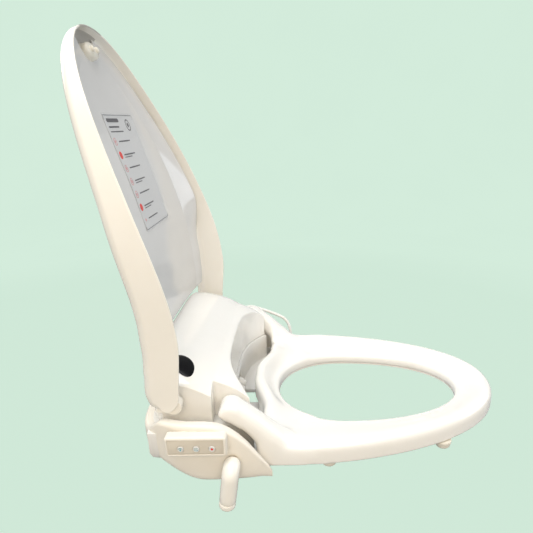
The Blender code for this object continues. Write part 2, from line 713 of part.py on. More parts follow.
def make_inlet():
    y, z = -52.0, 36.0
    turned("inlet_spigot", (-176, y, z), (-1, 0, 0), [(0, 9.5), (8, 9.5), (8.01, 7.2), (36.5, 7.2), (36.51, 5.4), (45, 5.4)],
           "brass", 24)
    lean = math.radians(8.0)
    down = Vector((0, math.sin(lean), -math.cos(lean)))
    centre = Vector((-222.5, y, z))
    rings = []
    start = centre + Vector((9.3, 0, 0))
    stations = [(start, Vector((-1, 0, 0)), 11.3)]
    for k in range(1, 9):
        a = math.pi / 2 * k / 8
        point = start + Vector((-11.0 * math.sin(a), 0, 0)) + down * (11.0 * (1 - math.cos(a)))
        facing = Vector((-1, 0, 0)) * math.cos(a) + down * math.sin(a)
        stations.append((point, facing, 11.3))
    end = stations[-1][0]
    for along, radius in ((8, 11.3), (40, 11.0), (40.4, 10.2), (42.4, 10.2), (42.8, 11.0), (50, 10.8), (52, 9.6)):
        stations.append((end + down * along, down, radius))
    across = Vector((-1, 0, 0)).cross(down).normalized()
    for point, facing, radius in stations:
        other = across.cross(facing).normalized()
        rings.append([tuple(point + across * (radius * math.cos(t)) + other * (radius * math.sin(t)))
                      for t in np.linspace(0, 2 * math.pi, 24, endpoint=False)])
    elbow = loft("inlet_elbow", rings, "shell_white")
    combine(elbow, rod("bore", (-205, y, z), (-221.8, y, z), 5.8, None, 20))
    mouth = end + down * 53
    combine(elbow, rod("bore", tuple(end + down * 20), tuple(mouth + down * 4), 6.5, None, 20))
    set_origin(elbow, (-213.0, y, z))


def make_service():
    """Release button under the near prong, deodoriser cassette in the far wing, drain plug under the tank."""
    cassette = box("deodoriser_cassette", (169, 24.6, 20.6), (204.6, 61.4, 35.4), "cap_grey")
    set_origin(cassette, (204.0, 43.0, 28.0))
    latch = box("release_button", (-14, 66.6, 30), (14, 83.5, 42), "cap_grey")
    set_origin(latch, (0, 83.5, 36))


# Lead

CORD_ROUTE = [(235.3, 2.14, 55.55), (246, -0.4, 58.6), (256, -13, 68), (262, -34, 74.5), (266, -60, 65.5),
              (267, -87, 54.5), (265, -109, 43), (261, -119, 26), (257, -121, 5), (255, -116, -18),
              (254, -103, -39), (254, -84, -52.5), (254.5, -62, -58), (253, -42, -58.75), (248.1, -26.2, -58.75)]
CORD_TAIL = [(226, 44.9, -52.5), (226, 52, -51), (226, 60, -48.6), (226, 67, -48)]


def smooth_route(points, spacing=9.0):
    """Catmull-Rom through the route, resampled at even steps."""
    ext = [2 * Vector(points[0]) - Vector(points[1])] + [Vector(p) for p in points]
    ext.append(2 * ext[-1] - ext[-2])
    dense = []
    for k in range(1, len(ext) - 2):
        a, b, c, d = ext[k - 1:k + 3]
        for step in range(12):
            t = step / 12
            dense.append(0.5 * (2 * b + (c - a) * t + (2 * a - 5 * b + 4 * c - d) * t * t
                                + (3 * b - a - 3 * c + d) * t**3))
    dense.append(ext[-2])
    lengths = [0.0]
    for p, q in zip(dense, dense[1:]):
        lengths.append(lengths[-1] + (q - p).length)
    count = max(4, round(lengths[-1] / spacing))
    out = []
    for k in range(count + 1):
        target = lengths[-1] * k / count
        i = min(max(int(np.searchsorted(lengths, target)) - 1, 0), len(dense) - 2)
        t = (target - lengths[i]) / max(lengths[i + 1] - lengths[i], 1e-9)
        out.append(dense[i].lerp(dense[i + 1], min(max(t, 0.0), 1.0)))
    return out


def cord_tube(name, route):
    data = bpy.data.curves.new(name, "CURVE")
    data.dimensions = "3D"
    data.bevel_depth = CORD_RADIUS * MM
    data.bevel_resolution = 2
    data.use_fill_caps = True
    spline = data.splines.new("POLY")
    points = smooth_route(route)
    spline.points.add(len(points) - 1)
    for slot, point in zip(spline.points, points):
        slot.co = (*(point * MM), 1.0)
    data.materials.append(material("cord_white"))
    item = bpy.data.objects.new(name, data)
    bpy.context.collection.objects.link(item)


def cord_coil():
    """The spare lead, wound flat beside the base, as one closed ring."""
    rings = []
    cx, cy, cz = COIL_CENTRE
    section = [(-8, -3.5), (-6, -7), (0, -8), (6, -7), (8, -3.5), (8, 3.5), (6, 7), (0, 8), (-6, 7), (-8, 3.5)]
    for k in range(40):
        a = 2 * math.pi * k / 40
        ring = []
        for rise, out in section:
            r = COIL_RADIUS + out * 0.82
            ring.append((cx + r * math.cos(a), cy + r * math.sin(a), cz + rise * 0.85))
        rings.append(ring)
    loft("cord_coil", rings, "cord_white", around=True)


def cord_plug():
    plug = turned("cord_plug", (226, 67.3, PLUG_Z), (0, 1, 0),
                  [(0, 5.2), (16, 7.5), (18, 12.5), (21, 14), (38, 14), (40, 12.5)], "cord_white", 20)
    for x in (-6.5, 6.5):
        combine(plug, rod("pin", (226 + x, 102, PLUG_Z), (226 + x, 126, PLUG_Z), 2.2, "steel", 12), "UNION")


def make_cord():
    turned("cord_relief", (209.5, 8, 52), (22, -5, 3), [(0, 8), (3, 8), (3.01, 6.2), (25.8, 4.0)], "cord_white", 20)
    cord_tube("cord_lead", CORD_ROUTE)
    cord_coil()
    cord_tube("cord_tail", CORD_TAIL)
    cord_plug()


def main():
    clear_scene()
    make_base()
    make_cover()
    make_window()
    make_pod()
    make_pins()
    make_nozzles()
    make_internals()
    make_mounting()
    make_inlet()
    make_service()
    make_seat()
    make_lid()
    make_cord()


main()
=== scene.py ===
import math

import bmesh
import bpy
import numpy as np
from mathutils import Matrix, Vector


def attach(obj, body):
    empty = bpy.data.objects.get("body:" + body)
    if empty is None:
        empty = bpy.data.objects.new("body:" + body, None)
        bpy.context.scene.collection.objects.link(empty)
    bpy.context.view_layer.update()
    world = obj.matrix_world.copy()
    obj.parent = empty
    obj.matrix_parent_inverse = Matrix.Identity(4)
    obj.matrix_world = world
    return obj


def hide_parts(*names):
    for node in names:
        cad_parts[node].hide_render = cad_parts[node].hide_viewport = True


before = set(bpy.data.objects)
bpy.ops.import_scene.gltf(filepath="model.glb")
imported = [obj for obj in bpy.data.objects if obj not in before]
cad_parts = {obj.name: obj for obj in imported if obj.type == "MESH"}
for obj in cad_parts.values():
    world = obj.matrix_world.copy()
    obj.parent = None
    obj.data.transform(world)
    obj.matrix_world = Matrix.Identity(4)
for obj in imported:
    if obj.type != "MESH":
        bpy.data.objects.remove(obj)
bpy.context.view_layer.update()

# Lengths are millimetres while a piece is drawn. The front of the seat is -Y and up is +Z.
# The near side is -X, at the user's right hand, and the far side is +X.
mm = 0.001


# Small tools

def curveThrough(rows):  # smooth monotone curve through (place, value) rows
    xs = np.array([row[0] for row in rows], float)
    ys = np.array([row[1] for row in rows], float)
    gaps = np.diff(xs)
    slopes = np.diff(ys) / gaps
    turn = np.zeros(len(xs))
    turn[0], turn[-1] = slopes[0], slopes[-1]
    for i in range(1, len(xs) - 1):
        if slopes[i - 1] * slopes[i] > 0:
            a, b = 2 * gaps[i] + gaps[i - 1], gaps[i] + 2 * gaps[i - 1]
            turn[i] = (a + b) / (a / slopes[i - 1] + b / slopes[i])

    def at(x):
        x = min(max(x, xs[0]), xs[-1])
        i = min(max(int(np.searchsorted(xs, x)) - 1, 0), len(gaps) - 1)
        t = (x - xs[i]) / gaps[i]
        low = (2 * t**3 - 3 * t**2 + 1) * ys[i] + (t**3 - 2 * t**2 + t) * gaps[i] * turn[i]
        return float(low + (3 * t**2 - 2 * t**3) * ys[i + 1] + (t**3 - t**2) * gaps[i] * turn[i + 1])

    return at


def easeStep(low, high, at):  # low may lie above high
    t = min(max((at - low) / (high - low), 0.0), 1.0)
    return t * t * (3 - 2 * t)


def bulge(value, power):  # bends a sine or cosine towards a squarer or rounder outline
    return math.copysign(abs(value) ** power, value)


def turnsRound(count):
    return [2 * math.pi * k / count for k in range(count)]


def softMax(a, b, width):  # the larger of two heights, with a fillet where they meet
    h = max(width - abs(a - b), 0.0) / width
    return max(a, b) + h * h * width * 0.25


def alongPath(points, spacing):  # evenly spaced points on a smooth line through points
    p = [Vector(q) for q in points]
    p = [2 * p[0] - p[1]] + p + [2 * p[-1] - p[-2]]
    dense = []
    for k in range(1, len(p) - 2):
        a, b, c, d = p[k - 1:k + 3]
        for step in range(16):
            t = step / 16
            bend = (2 * a - 5 * b + 4 * c - d) * t * t + (3 * b - a - 3 * c + d) * t**3
            dense.append(0.5 * (2 * b + (c - a) * t + bend))
    dense.append(p[-2])
    far = np.cumsum([0.0] + [(b - a).length for a, b in zip(dense, dense[1:])])
    count = max(4, round(far[-1] / spacing))
    out = []
    for target in np.linspace(0, far[-1], count + 1):
        i = min(max(int(np.searchsorted(far, target)) - 1, 0), len(dense) - 2)
        out.append(dense[i].lerp(dense[i + 1], (target - far[i]) / max(far[i + 1] - far[i], 1e-9)))
    return out


def addToScene(thing):
    bpy.context.scene.collection.objects.link(thing)
    return thing


def cleanMesh(mesh, weld=0.0):  # welds close points and turns the faces outwards
    work = bmesh.new()
    work.from_mesh(mesh)
    if weld:
        bmesh.ops.remove_doubles(work, verts=work.verts, dist=weld)
    bmesh.ops.recalc_face_normals(work, faces=work.faces)
    work.to_mesh(mesh)
    work.free()


def creaseOver(piece, degrees):
    piece.data.set_sharp_from_angle(angle=math.radians(degrees))
    return piece


def makePiece(name, points, faces, finish, smooth=True, weld=0.00002):
    mesh = bpy.data.meshes.new(name)
    mesh.from_pydata([Vector(p) * mm for p in points], [], faces)
    cleanMesh(mesh, weld)
    if finish:
        mesh.materials.append(finish)
    if smooth:
        mesh.shade_smooth()
    return addToScene(bpy.data.objects.new(name, mesh))


def ringFaces(rings, closed=False, caps=True, around=True):
    count = len(rings[0])
    faces = []
    for k in range(len(rings) if closed else len(rings) - 1):
        a, b = k * count, ((k + 1) % len(rings)) * count
        for i in range(count if around else count - 1):
            j = (i + 1) % count
            faces.append((a + i, a + j, b + j, b + i))
    if caps and not closed:
        faces.append(tuple(range(count))[::-1])
        faces.append(tuple((len(rings) - 1) * count + i for i in range(count)))
    return faces


def loft(name, rings, finish, closed=False, caps=True, smooth=True):
    points = [p for ring in rings for p in ring]
    return makePiece(name, points, ringFaces(rings, closed, caps), finish, smooth)


def settle(piece):  # turns live modifiers into a plain mesh
    bpy.context.view_layer.update()
    graph = bpy.context.evaluated_depsgraph_get()
    mesh = bpy.data.meshes.new_from_object(piece.evaluated_get(graph))
    piece.modifiers.clear()
    piece.data = mesh
    return piece


def reshape(piece, kind, **settings):
    change = piece.modifiers.new("change", kind)
    for key, value in settings.items():
        setattr(change, key, value)
    return settle(piece)


def subdivide(piece, levels=2):
    reshape(piece, "SUBSURF", levels=levels, render_levels=levels, boundary_smooth="PRESERVE_CORNERS")
    piece.data.shade_smooth()
    return piece


def thicken(piece, thickness):
    return reshape(piece, "SOLIDIFY", thickness=thickness * mm, offset=-1, use_even_offset=True, use_rim=True)


def carve(piece, tool, how="DIFFERENCE"):
    reshape(piece, "BOOLEAN", operation=how, solver="EXACT", object=tool)
    bpy.data.objects.remove(tool, do_unlink=True)
    return piece


def drill(piece, start, direction, radius, depth, sides=32):
    return carve(piece, lathe("drill", start, direction, [(0, radius), (depth, radius)], None, sides))


def cutBox(piece, low, high):
    return carve(piece, block("cutter", low, high))


def roundEdges(piece, width, segments=3, angle=32):
    reshape(piece, "BEVEL", width=width * mm, segments=segments, limit_method="ANGLE",
            angle_limit=math.radians(angle))
    piece.data.shade_smooth()
    return creaseOver(piece, 42)


def lathe(name, start, direction, profile, finish, sides=48):  # profile is (along, radius) rows
    ahead = Vector(direction).normalized()
    side = ahead.orthogonal().normalized()
    up = ahead.cross(side)
    rings = []
    for along, radius in profile:
        centre = Vector(start) + ahead * along
        rings.append([centre + side * (radius * math.cos(t)) + up * (radius * math.sin(t))
                      for t in turnsRound(sides)])
    return creaseOver(loft(name, rings, finish), 42)


def block(name, low, high, finish=None):
    x0, y0, x1, y1 = *low[:2], *high[:2]
    rings = [[(x0, y0, z), (x1, y0, z), (x1, y1, z), (x0, y1, z)] for z in (low[2], high[2])]
    return loft(name, rings, finish, smooth=False)


def joinPieces(first, *others):
    with bpy.context.temp_override(active_object=first, selected_editable_objects=[first, *others],
                                   object=first, selected_objects=[first, *others]):
        bpy.ops.object.join()
    return first


def keepOn(piece, body, slot, *nodes):  # rides on a body, stands for CAD nodes
    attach(piece, body)
    if nodes:
        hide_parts(*nodes)
    return piece


# Finishes. Object coordinates throughout, so a pattern stays with its piece.

def feed(tree, node, inputs):  # joins each input to a socket or sets it to a value
    for key, value in inputs.items():
        if isinstance(value, bpy.types.NodeSocket):
            tree.links.new(value, node.inputs[key])
        else:
            node.inputs[key].default_value = value
    return node


def addNode(tree, kind, inputs, **settings):
    node = tree.nodes.new(kind)
    for key, value in settings.items():
        setattr(node, key, value)
    return feed(tree, node, inputs)


def newFinish(name):
    made = bpy.data.materials.new(name)
    made.use_nodes = True
    tree = made.node_tree
    place = tree.nodes.new("ShaderNodeTexCoord")
    return made, tree, tree.nodes["Principled BSDF"], place.outputs["Object"]


def noise(tree, place, scale, detail=3.0, rough=0.55):
    values = {"Vector": place, "Scale": scale, "Detail": detail, "Roughness": rough}
    return addNode(tree, "ShaderNodeTexNoise", values).outputs["Fac"]


def blendColours(tree, factor, first, second):
    ramp = addNode(tree, "ShaderNodeValToRGB", {"Fac": factor})
    for k, (place, colour) in enumerate(((0.3, first), (0.7, second))):
        ramp.color_ramp.elements[k].position = place
        ramp.color_ramp.elements[k].color = (*colour, 1)
    return ramp.outputs["Color"]


def spread(tree, factor, low, high):
    values = {"Value": factor, "To Min": low, "To Max": high}
    return addNode(tree, "ShaderNodeMapRange", values).outputs["Result"]


def relief(tree, heights, strength, distance):
    values = {"Height": heights, "Strength": strength, "Distance": distance}
    return addNode(tree, "ShaderNodeBump", values).outputs["Normal"]


def mouldedPlastic(name, colour, shade, rough=(0.2, 0.3), grain=900.0, height=0.1, coat=0.0, deep=0.02):
    # moulded resin: broad tone drift, fine flow mottling, faint surface ripple, gloss that varies
    made, tree, shader, place = newFinish(name)
    drift = noise(tree, place, 9.0, 2.0)
    mottle = noise(tree, place, 85.0, 4.0)
    both = addNode(tree, "ShaderNodeMath", {0: mottle, 1: 0.25, 2: drift}, operation="MULTIPLY_ADD")
    feed(tree, shader, {"Base Color": blendColours(tree, both.outputs[0], colour, shade),
                        "Roughness": spread(tree, mottle, *rough),
                        "Normal": relief(tree, noise(tree, place, grain, 3.0), height, 0.0002),
                        "Coat Weight": coat, "Coat Roughness": 0.08, "Subsurface Weight": deep,
                        "Subsurface Radius": (0.004, 0.003, 0.002)})
    return made


def turnedMetal(name, colour, shade, axis="Z"):
    made, tree, shader, place = newFinish(name)
    scale = [900 if letter == axis else 40 for letter in "XYZ"]
    stretch = addNode(tree, "ShaderNodeMapping", {"Vector": place, "Scale": scale})
    lines = noise(tree, stretch.outputs["Vector"], 1.0, 3.0)
    stain = noise(tree, place, 55.0, 4.0)
    feed(tree, shader, {"Base Color": blendColours(tree, stain, colour, shade),
                        "Roughness": spread(tree, lines, 0.22, 0.42),
                        "Normal": relief(tree, lines, 0.18, 0.0001), "Metallic": 1.0})
    return made


def softRubber(name, colour, shade):
    made, tree, shader, place = newFinish(name)
    bloom = noise(tree, place, 140.0, 5.0)
    feed(tree, shader, {"Base Color": blendColours(tree, bloom, colour, shade),
                        "Roughness": spread(tree, bloom, 0.55, 0.78),
                        "Normal": relief(tree, noise(tree, place, 1600.0, 2.0), 0.25, 0.0002)})
    return made


def printedStock(name, colour, shade, rough):
    made, tree, shader, place = newFinish(name)
    fibre = noise(tree, place, 420.0, 6.0, 0.7)
    feed(tree, shader, {"Base Color": blendColours(tree, fibre, colour, shade),
                        "Roughness": spread(tree, fibre, rough - 0.05, rough + 0.1),
                        "Normal": relief(tree, fibre, 0.06, 0.0001)})
    return made


shellFinish = mouldedPlastic("ivoryGloss", (0.835, 0.80, 0.725), (0.865, 0.835, 0.765), (0.16, 0.26),
                             coat=0.25)
seatFinish = mouldedPlastic("seatGloss", (0.85, 0.83, 0.78), (0.88, 0.86, 0.815), (0.12, 0.22), coat=0.35)
coverFinish = mouldedPlastic("coverGloss", (0.84, 0.825, 0.785), (0.87, 0.855, 0.815), (0.12, 0.2), coat=0.35)
# painted shade: a dark colour standing in for the shadow deep in the pocket round the lid's tip boss
tipPaintedShade = mouldedPlastic("recessPaintedShade", (0.34, 0.32, 0.28), (0.42, 0.40, 0.36), (0.3, 0.42))
linerFinish = mouldedPlastic("linerPolish", (0.665, 0.66, 0.65), (0.70, 0.695, 0.685), (0.07, 0.13),
                             height=0.04, coat=0.5, deep=0.0)
baseFinish = mouldedPlastic("baseSatin", (0.79, 0.745, 0.655), (0.825, 0.78, 0.695), (0.3, 0.42), 1300.0, 0.2)
trayFinish = mouldedPlastic("traySatin", (0.70, 0.69, 0.66), (0.74, 0.73, 0.70), (0.3, 0.42), 1300.0, 0.2)
panelFinish = mouldedPlastic("panelMatt", (0.62, 0.565, 0.47), (0.66, 0.605, 0.51), (0.42, 0.55), 2100.0, 0.3)
buttonFinish = mouldedPlastic("buttonSatin", (0.66, 0.66, 0.64), (0.70, 0.70, 0.68), (0.3, 0.4), 1800.0, 0.15)
nozzleFinish = mouldedPlastic("nozzleResin", (0.82, 0.82, 0.80), (0.86, 0.86, 0.84), (0.18, 0.3), coat=0.2)
windowFinish = mouldedPlastic("windowBlack", (0.002, 0.002, 0.003), (0.006, 0.006, 0.007), (0.2, 0.28),
                              height=0.03, deep=0.0)
windowFinish.node_tree.nodes["Principled BSDF"].inputs["Specular IOR Level"].default_value = 0.16
darkFinish = mouldedPlastic("darkNylon", (0.045, 0.045, 0.05), (0.075, 0.075, 0.08), (0.4, 0.55), 1500.0, 0.3,
                            deep=0.0)
greyFinish = mouldedPlastic("greyResin", (0.56, 0.57, 0.58), (0.62, 0.63, 0.64), (0.32, 0.45), 1500.0, 0.2)
bossFinish = mouldedPlastic("bossCream", (0.72, 0.69, 0.60), (0.78, 0.75, 0.66), (0.1, 0.18), coat=0.4)
cordFinish = mouldedPlastic("cordJacket", (0.80, 0.79, 0.75), (0.84, 0.83, 0.79), (0.34, 0.46), 700.0, 0.12)
boardFinish = mouldedPlastic("boardLacquer", (0.02, 0.17, 0.07), (0.04, 0.24, 0.10), (0.25, 0.45), 260.0, 0.3,
                             deep=0.0)
padFinish = softRubber("bumperRubber", (0.74, 0.70, 0.60), (0.80, 0.76, 0.67))
steelFinish = turnedMetal("turnedSteel", (0.60, 0.60, 0.61), (0.72, 0.72, 0.73))
steelAcross = turnedMetal("turnedSteelAcross", (0.60, 0.60, 0.61), (0.72, 0.72, 0.73), axis="X")
brassFinish = turnedMetal("turnedBrass", (0.70, 0.50, 0.22), (0.80, 0.62, 0.32), axis="X")
stockFinish = printedStock("labelStock", (0.60, 0.605, 0.61), (0.64, 0.645, 0.65), 0.3)
greyInk = printedStock("greyInk", (0.07, 0.07, 0.08), (0.12, 0.12, 0.13), 0.35)
redInk = printedStock("redInk", (0.72, 0.025, 0.02), (0.80, 0.05, 0.035), 0.35)
pinkInk = printedStock("pinkInk", (0.62, 0.24, 0.25), (0.70, 0.34, 0.34), 0.35)
tealInk = printedStock("tealInk", (0.12, 0.36, 0.42), (0.18, 0.44, 0.50), 0.35)
print("finishes ready")


# Geometry Nodes trees

def newTree(name, **inputs):  # each input comes with its socket type
    tree = bpy.data.node_groups.new(name, "GeometryNodeTree")
    for label, kind in {"Geometry": "Geometry", **inputs, "Finish": "Material"}.items():
        tree.interface.new_socket(name=label, in_out="INPUT", socket_type="NodeSocket" + kind)
    tree.interface.new_socket(name="Geometry", in_out="OUTPUT", socket_type="NodeSocketGeometry")
    return tree, tree.nodes.new("NodeGroupInput").outputs


def endTree(tree, given, geometry):  # every tree ends in Realize Instances and Set Material
    real = addNode(tree, "GeometryNodeRealizeInstances", {"Geometry": geometry})
    coat = addNode(tree, "GeometryNodeSetMaterial", {"Geometry": real.outputs["Geometry"],
                                                     "Material": given["Finish"]})
    addNode(tree, "NodeGroupOutput", {"Geometry": coat.outputs["Geometry"]})
    return tree


def slotBarTree():  # a row of round-ended bars
    tree, given = newTree("slotBars", Count="Int", Step="Vector", Start="Vector", Length="Float",
                          Width="Float", Depth="Float", Turn="Vector")
    line = addNode(tree, "GeometryNodeMeshLine", {"Count": given["Count"], "Start Location": given["Start"],
                                                  "Offset": given["Step"]})
    outline = addNode(tree, "GeometryNodeCurvePrimitiveQuadrilateral", {"Width": given["Length"],
                                                                        "Height": given["Width"]})
    half = addNode(tree, "ShaderNodeMath", {0: given["Width"], 1: 0.46}, operation="MULTIPLY")
    corner = addNode(tree, "GeometryNodeFilletCurve", {"Curve": outline.outputs["Curve"], "Count": 5,
                                                       "Radius": half.outputs[0]}, mode="POLY")
    fill = addNode(tree, "GeometryNodeFillCurve", {"Curve": corner.outputs["Curve"]}, mode="NGONS")
    flip = addNode(tree, "GeometryNodeFlipFaces", {"Mesh": fill.outputs["Mesh"]})
    lift = addNode(tree, "GeometryNodeExtrudeMesh", {"Mesh": fill.outputs["Mesh"], "Individual": False,
                                                     "Offset Scale": given["Depth"]})
    both = addNode(tree, "GeometryNodeJoinGeometry", {"Geometry": lift.outputs["Mesh"]})
    feed(tree, both, {"Geometry": flip.outputs["Mesh"]})
    put = addNode(tree, "GeometryNodeInstanceOnPoints", {"Points": line.outputs["Mesh"],
                                                         "Instance": both.outputs["Geometry"],
                                                         "Rotation": given["Turn"]})
    return endTree(tree, given, put.outputs["Instances"])


def copiesTree():  # one small part at every point of the source mesh
    tree, given = newTree("partCopies", Part="Object")
    part = addNode(tree, "GeometryNodeObjectInfo", {"Object": given["Part"]})
    put = addNode(tree, "GeometryNodeInstanceOnPoints", {"Points": given["Geometry"],
                                                         "Instance": part.outputs["Geometry"]})
    return endTree(tree, given, put.outputs["Instances"])


def threadTree():  # a screw thread wound up the Z axis
    tree, given = newTree("boltThread", Turns="Float", Radius="Float", Rise="Float", Tooth="Float",
                          Start="Vector")
    wind = addNode(tree, "GeometryNodeCurveSpiral", {"Resolution": 14, "Rotations": given["Turns"],
                                                     "Start Radius": given["Radius"],
                                                     "End Radius": given["Radius"],
                                                     "Height": given["Rise"]})
    tooth = addNode(tree, "GeometryNodeCurvePrimitiveCircle", {"Resolution": 4, "Radius": given["Tooth"]})
    sweep = addNode(tree, "GeometryNodeCurveToMesh", {"Curve": wind.outputs["Curve"], "Fill Caps": True,
                                                      "Profile Curve": tooth.outputs["Curve"]})
    move = addNode(tree, "GeometryNodeTransform", {"Geometry": sweep.outputs["Mesh"],
                                                   "Translation": given["Start"]})
    return endTree(tree, given, move.outputs["Geometry"])


slotBars = slotBarTree()
partCopies = copiesTree()
boltThread = threadTree()


def growPiece(name, tree, values, source=()):
    mesh = bpy.data.meshes.new(name)
    mesh.from_pydata([Vector(p) * mm for p in source], [], [])
    piece = addToScene(bpy.data.objects.new(name, mesh))
    change = piece.modifiers.new("grow", "NODES")
    change.node_group = tree
    for item in tree.interface.items_tree:
        if item.in_out == "INPUT" and item.name in values:
            change[item.identifier] = values[item.name]
    settle(piece)
    cleanMesh(piece.data, 0.000005)
    piece.data.shade_smooth()
    return creaseOver(piece, 40)


def barRow(finish, count, start, step, size, turn=(0, 0, 0)):  # size is length, width and depth
    long, wide, deep = (v * mm for v in size)
    return growPiece("bars", slotBars, {"Count": count, "Start": tuple(v * mm for v in start),
                                        "Step": tuple(v * mm for v in step), "Length": long,
                                        "Width": wide, "Depth": deep, "Turn": turn, "Finish": finish})


def copyTo(name, part, finish, spots):
    piece = growPiece(name, partCopies, {"Part": part, "Finish": finish}, spots)
    bpy.data.objects.remove(part, do_unlink=True)
    return piece


# Camera

view = {"place": (-0.72956, -0.142838, 0.456966), "turn": -0.00557, "tilt": -0.34963, "roll": -0.00793,
        "sensor": 36.0, "lens": 32.53947467, "shift": (-0.0672607880, 0.0572607880), "clip": (0.02, 30.0)}


def placeCamera():
    turn, tilt, roll = view["turn"], view["tilt"], view["roll"]
    ahead = Vector((math.cos(tilt) * math.cos(turn), math.cos(tilt) * math.sin(turn), math.sin(tilt)))
    right = ahead.cross(Vector((0, 0, 1))).normalized()
    up = right.cross(ahead)
    level = right * math.cos(roll) + up * math.sin(roll)
    upright = up * math.cos(roll) - right * math.sin(roll)
    lens = bpy.data.cameras.new("studioCamera")
    camera = addToScene(bpy.data.objects.new("studioCamera", lens))
    camera.matrix_world = Matrix((
        (level.x, upright.x, -ahead.x, view["place"][0]),
        (level.y, upright.y, -ahead.y, view["place"][1]),
        (level.z, upright.z, -ahead.z, view["place"][2]),
        (0, 0, 0, 1)))
    lens.sensor_width = view["sensor"]
    lens.lens = view["lens"]
    lens.shift_x, lens.shift_y = view["shift"]
    lens.clip_start, lens.clip_end = view["clip"]
    bpy.context.scene.camera = camera


placeCamera()
print("camera placed")


# Lead: out of the far wing, forward in an arc beside it, down to the floor and into a coil held by a strap

lead = {"radius": 3.25, "floor": -62.0, "coilCentre": (226.0, 6.0), "outerTurn": 35.25, "innerTurn": 28.6,
        "length": 1.22, "route": [(234.6, 2.3, 55.4), (246, -0.4, 58.6), (256, -13, 68), (262, -34, 74.5),
                                  (266, -60, 65.5), (267, -87, 54.5), (265, -109, 43), (261, -119, 26),
                                  (257, -121, 5), (255, -116, -18), (255, -103, -39), (256.5, -84, -52.5),
                                  (258.5, -62, -58), (260.3, -40, -58.75), (261, -20, -58.75)]}


def coilPoints():
    cx, cy = lead["coilCentre"]
    low, high = lead["floor"] + lead["radius"], lead["floor"] + 3 * lead["radius"] + 0.1
    points = []
    turns = 4.0
    for k in range(1, 161):
        done = turns * k / 160
        angle = 2 * math.pi * done
        inward = easeStep(0.85, 1.15, done) - easeStep(2.85, 3.15, done)
        radius = lead["outerTurn"] - (lead["outerTurn"] - lead["innerTurn"]) * inward
        height = low + (high - low) * easeStep(1.85, 2.15, done)
        points.append(Vector((cx + radius * math.cos(angle), cy + radius * math.sin(angle), height)))
    return points


def leadLine():
    cx, cy = lead["coilCentre"]
    high = lead["floor"] + 3 * lead["radius"] + 0.1
    start = alongPath(lead["route"] + [(cx + lead["outerTurn"], cy, lead["floor"] + lead["radius"])], 7.0)
    coil = coilPoints()
    out = [coil[-1], (cx + lead["outerTurn"] - 1.0, cy + 18, high + 0.4), (cx + 29, cy + 36, high + 1.6),
           (cx + 17, cy + 50, high + 3), (cx + 4, cy + 58, high + 4), (cx, cy + 63, -48)]
    return start + coil + alongPath(out, 7.0)[1:]


def makeLead():
    points = leadLine()
    data = bpy.data.curves.new("powerLead", "CURVE")
    data.dimensions = "3D"
    data.bevel_depth = lead["radius"] * mm
    data.bevel_resolution = 5
    data.use_fill_caps = True
    spline = data.splines.new("POLY")
    spline.points.add(len(points) - 1)
    for spot, point in zip(spline.points, points):
        spot.co = (*(point * mm), 1.0)
    spline.use_smooth = True
    data.materials.append(cordFinish)
    piece = addToScene(bpy.data.objects.new("powerLead", data))
    length = sum((b - a).length for a, b in zip(points, points[1:]))
    print("lead length", round(length, 1))
    return piece, points


def makeRelief():  # tapered strain relief with bending grooves
    profile = [(0, 5.6), (0.2, 8.6), (1.0, 9.2), (3.4, 9.2), (4.2, 8.4), (4.6, 6.6)]
    for k in range(6):
        at = 5.2 + 3.3 * k
        wide = 6.4 - 0.36 * k
        profile += [(at, wide), (at + 1.9, wide - 0.15), (at + 2.2, wide - 1.0), (at + 2.9, wide - 1.1)]
    profile += [(25.2, 4.3), (27.2, 4.05), (27.8, 3.4)]
    return lathe("leadRelief", (209.2, 8.1, 52), (22, -5, 3), profile, cordFinish, 40)


def makePlug():
    start = (226, 67.0, -48)
    body = []
    for along, wide, tall in ((0, 4.2, 4.2), (1, 5.2, 5.2), (12, 6.6, 6.4), (15, 8.6, 7.6), (18, 12.4, 10.2),
                              (22, 13.6, 12.4), (30, 13.8, 13.2), (37, 13.8, 13.2), (39.4, 12.8, 12.2),
                              (40.0, 10.8, 10.2)):
        height = start[2] - 13.8 + max(tall, 13.6)
        body.append([(start[0] + wide * bulge(math.cos(t), 0.7), start[1] + along,
                      height + tall * bulge(math.sin(t), 0.7)) for t in turnsRound(40)])
    plug = loft("mainsPlug", body, cordFinish)
    roundEdges(plug, 0.5)
    pinProfile = [(0, 2.0), (16.5, 2.0), (18.4, 1.5), (19, 0.7)]
    pins = [lathe("pin", (x, 106.0, -48), (0, 1, 0), pinProfile, steelFinish, 24) for x in (219.5, 232.5)]
    ribs = barRow(cordFinish, 5, (226, 91.5, -34.5), (0, 3.2, 0), (15, 1.5, 0.9))
    return joinPieces(plug, *pins, ribs)


def makeTie():  # strap round the four turns
    cx, cy = lead["coilCentre"]
    middle, high = 0.5 * (lead["outerTurn"] + lead["innerTurn"]), -55.4
    rings = []
    for u in turnsRound(40):
        c, s = math.cos(u), math.sin(u)
        ring = []
        for v, out in ((-2.2, 6.8), (-2.2, 7.35), (0, 7.45), (2.2, 7.35), (2.2, 6.8)):
            r = middle + out * bulge(c, 0.55)
            z = high + min(out, 7.0 if s > 0 else 6.6) * bulge(s, 0.55)
            ring.append((cx - r * math.cos(v / middle), cy + r * math.sin(v / middle), z))
        rings.append(ring)
    return loft("leadTie", rings, greyFinish, closed=True)


leadPiece, leadPoints = makeLead()
reliefPiece, plugPiece, tiePiece = makeRelief(), makePlug(), makeTie()
keepOn(leadPiece, "housing", "cord_white", "cord_lead", "cord_tail", "cord_coil")
keepOn(reliefPiece, "housing", "cord_white", "cord_relief")
keepOn(plugPiece, "housing", "cord_white", "cord_plug")
keepOn(tiePiece, "housing", "cap_grey")
print("lead done")


# Seat: a closed ring whose rear corners rise into the two hinge arms

